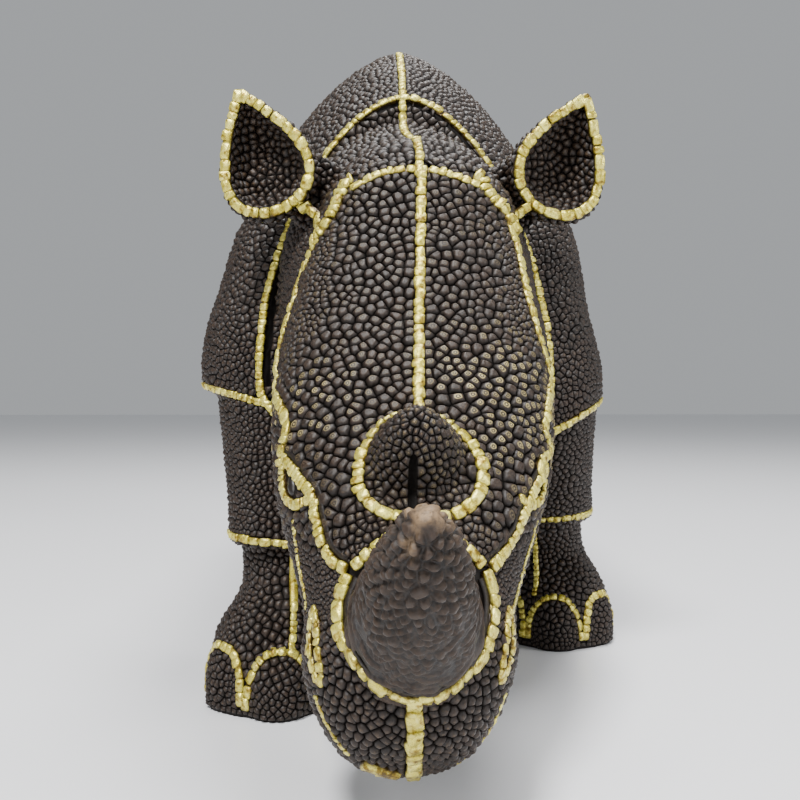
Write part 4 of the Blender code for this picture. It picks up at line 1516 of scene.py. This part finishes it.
def bead_pieces():
    """The raised gold beads of every line, and the lower gold that joins them."""
    points, tris, highs, seeds, dirts = [], [], [], [], []
    count = 0
    fine = bead_form(16, (0, 26, 54))
    plain = bead_form(12, (0, 42))
    for s in SEAMS:
        if s["flat"]:
            continue
        form, tri = fine if s["fine"] else plain
        for p, n, t, long, wide, high in lay_beads(s):
            t = unit(t - n * t.dot(n))
            b = np.cross(n, t)
            turn = RNG.normal(0, 0.06)
            t, b = t * math.cos(turn) + b * math.sin(turn), b * math.cos(turn) - t * math.sin(turn)
            taper = 1 + RNG.normal(0, 0.05) * form[:, 0]
            lean = RNG.normal(0, 0.15) * form[:, 0] + RNG.normal(0, 0.12) * form[:, 1]
            f = form * (1 + RNG.normal(0, 0.035, (len(form), 3)))
            place = p + np.outer(f[:, 0] * long / 2, t) + np.outer(f[:, 1] * taper * wide / 2, b)
            place += np.outer((f[:, 2] * (1 + lean)) * high, n)
            place += b * RNG.normal(0, 0.04) * wide
            points.append(place)
            tris.append(tri + count)
            # The share of the height up each bead also sets its painted shade.
            highs.append(np.clip(form[:, 2], 0, 1))
            seeds.append(np.full(len(tri), RNG.random()))
            dirts.append(np.full(len(tri), s["dirt"]))
            count += len(form)
    points = np.vstack(points)
    points[:, 2] = np.maximum(points[:, 2], 0.02)
    faces = {"seed": np.concatenate(seeds), "dirt": np.concatenate(dirts)}
    tri = np.vstack(tris)
    build("beads", points, tri, GILT, {"high": np.concatenate(highs)}, faces)
    band_piece("bead_band", SEAMS, GILT, 0.42)


def band_piece(name, lines, material, share):
    """A low rounded band along each line, cut down where the line has a gap."""
    section = ((-1.0, -0.5), (-0.92, 0.45), (-0.45, 1.0), (0.45, 1.0), (0.92, 0.45), (1.0, -0.5))
    points, tris, highs = [], [], []
    count = 0
    for s in lines:
        spot, way, run = run_of(s)
        if s["closed"]:
            spot, way, run = spot[:-1], way[:-1], run[:-1]
        n = len(spot)
        b = unit(np.cross(way, tangent(spot, s["closed"])))
        level = np.ones(n)
        for gap in s["gaps"]:
            level -= 0.9 * np.exp(-(((run - gap) / 0.42) ** 2))
        level = np.clip(level, 0.06, 1) * s["merge"]
        side = share + 0.05 if s["flat"] else share
        for x, h in section:
            points.append(spot + b * (x * s["width"] * side) + way * (h * s["high"] * level)[:, None])
            # The band's height, cut down in its gaps, also sets the painted shade of the gold and of the resin
            # rims.
            highs.append(level * max(h, 0.0) * 0.9)
        steps = n if s["closed"] else n - 1
        i = np.arange(steps)
        j = (i + 1) % n
        for k in range(len(section) - 1):
            lo, hi = count + k * n, count + (k + 1) * n
            tris.append(np.stack([lo + i, lo + j, hi + j], axis=1))
            tris.append(np.stack([lo + i, hi + j, hi + i], axis=1))
        count += len(section) * n
    points = np.vstack(points)
    points[:, 2] = np.maximum(points[:, 2], 0.01)
    tri = np.vstack(tris)
    high = np.concatenate(highs)
    build(name, points, tri, material, {"high": high, "dist": np.ones(len(high))})


def eye_pieces():
    """A small eye, sunk between the lids on each side."""
    for side, spot in zip((-1, 1), EYE_SPOTS):
        points, faces = ball((-side * 0.8, -0.6, 0), (1.5, 1.3, 3.0), rows=16, around=28)
        points = np.array(points)
        face_way = np.cross(DOWN, X_WAY)
        turned = points[:, :1] * X_WAY + points[:, 1:2] * face_way + points[:, 2:] * DOWN
        tri = grid_faces(points, faces)
        build("eye_left" if side > 0 else "eye_right", turned + spot, tri, EYE)


hide_pieces()
skin_piece()
horn_piece()
bead_pieces()
band_piece("rims", RIMS, RESIN, 0.5)
eye_pieces()

# Floor, light and camera

floor_mesh = bpy.data.meshes.new("floor")
floor_mesh.from_pydata([(-4, -4, 0), (4, -4, 0), (4, 4, 0), (-4, 4, 0)], [], [(0, 1, 2, 3)])
floor_look = Nodes("floor")
floor_look.set(Base_Color=colour(226, 226, 228), Roughness=0.32)
floor_mesh.materials.append(floor_look.material)
placed("floor", floor_mesh)

world = bpy.data.worlds.new("studio")
world.use_nodes = True
world.node_tree.nodes["Background"].inputs["Color"].default_value = (0.80, 0.83, 0.86, 1)
world.node_tree.nodes["Background"].inputs["Strength"].default_value = 0.5
bpy.context.scene.world = world


def panel(name, place, target, size, power):
    """A round soft light that faces its target."""
    light = bpy.data.lights.new(name, "AREA")
    light.shape = "DISK"
    light.size = size
    light.energy = power
    obj = placed(name, light)
    obj.location = place
    obj.rotation_euler = (Vector(target) - Vector(place)).to_track_quat("-Z", "Y").to_euler()


panel("key", (-0.25, -0.60, 1.0), (0, -0.05, 0.1), 0.26, 20)
panel("top", (0.15, 0.10, 1.05), (0, 0, 0.1), 0.4, 12)
panel("side", (0.95, -0.5, 0.55), (0, -0.05, 0.1), 0.4, 6)
panel("front", (-0.2, -1.1, 0.5), (0, 0, 0.12), 0.5, 4)

camera = bpy.data.cameras.new("camera")
camera.sensor_width = 36
camera.lens = 36
camera.clip_start = 0.005
shot = placed("camera", camera)
shot.location = (VIEW - MIDDLE) * STEP
shot.rotation_euler = (math.radians(90), 0, math.radians(-1.84))
bpy.context.scene.camera = shot

bpy.context.view_layer.update()
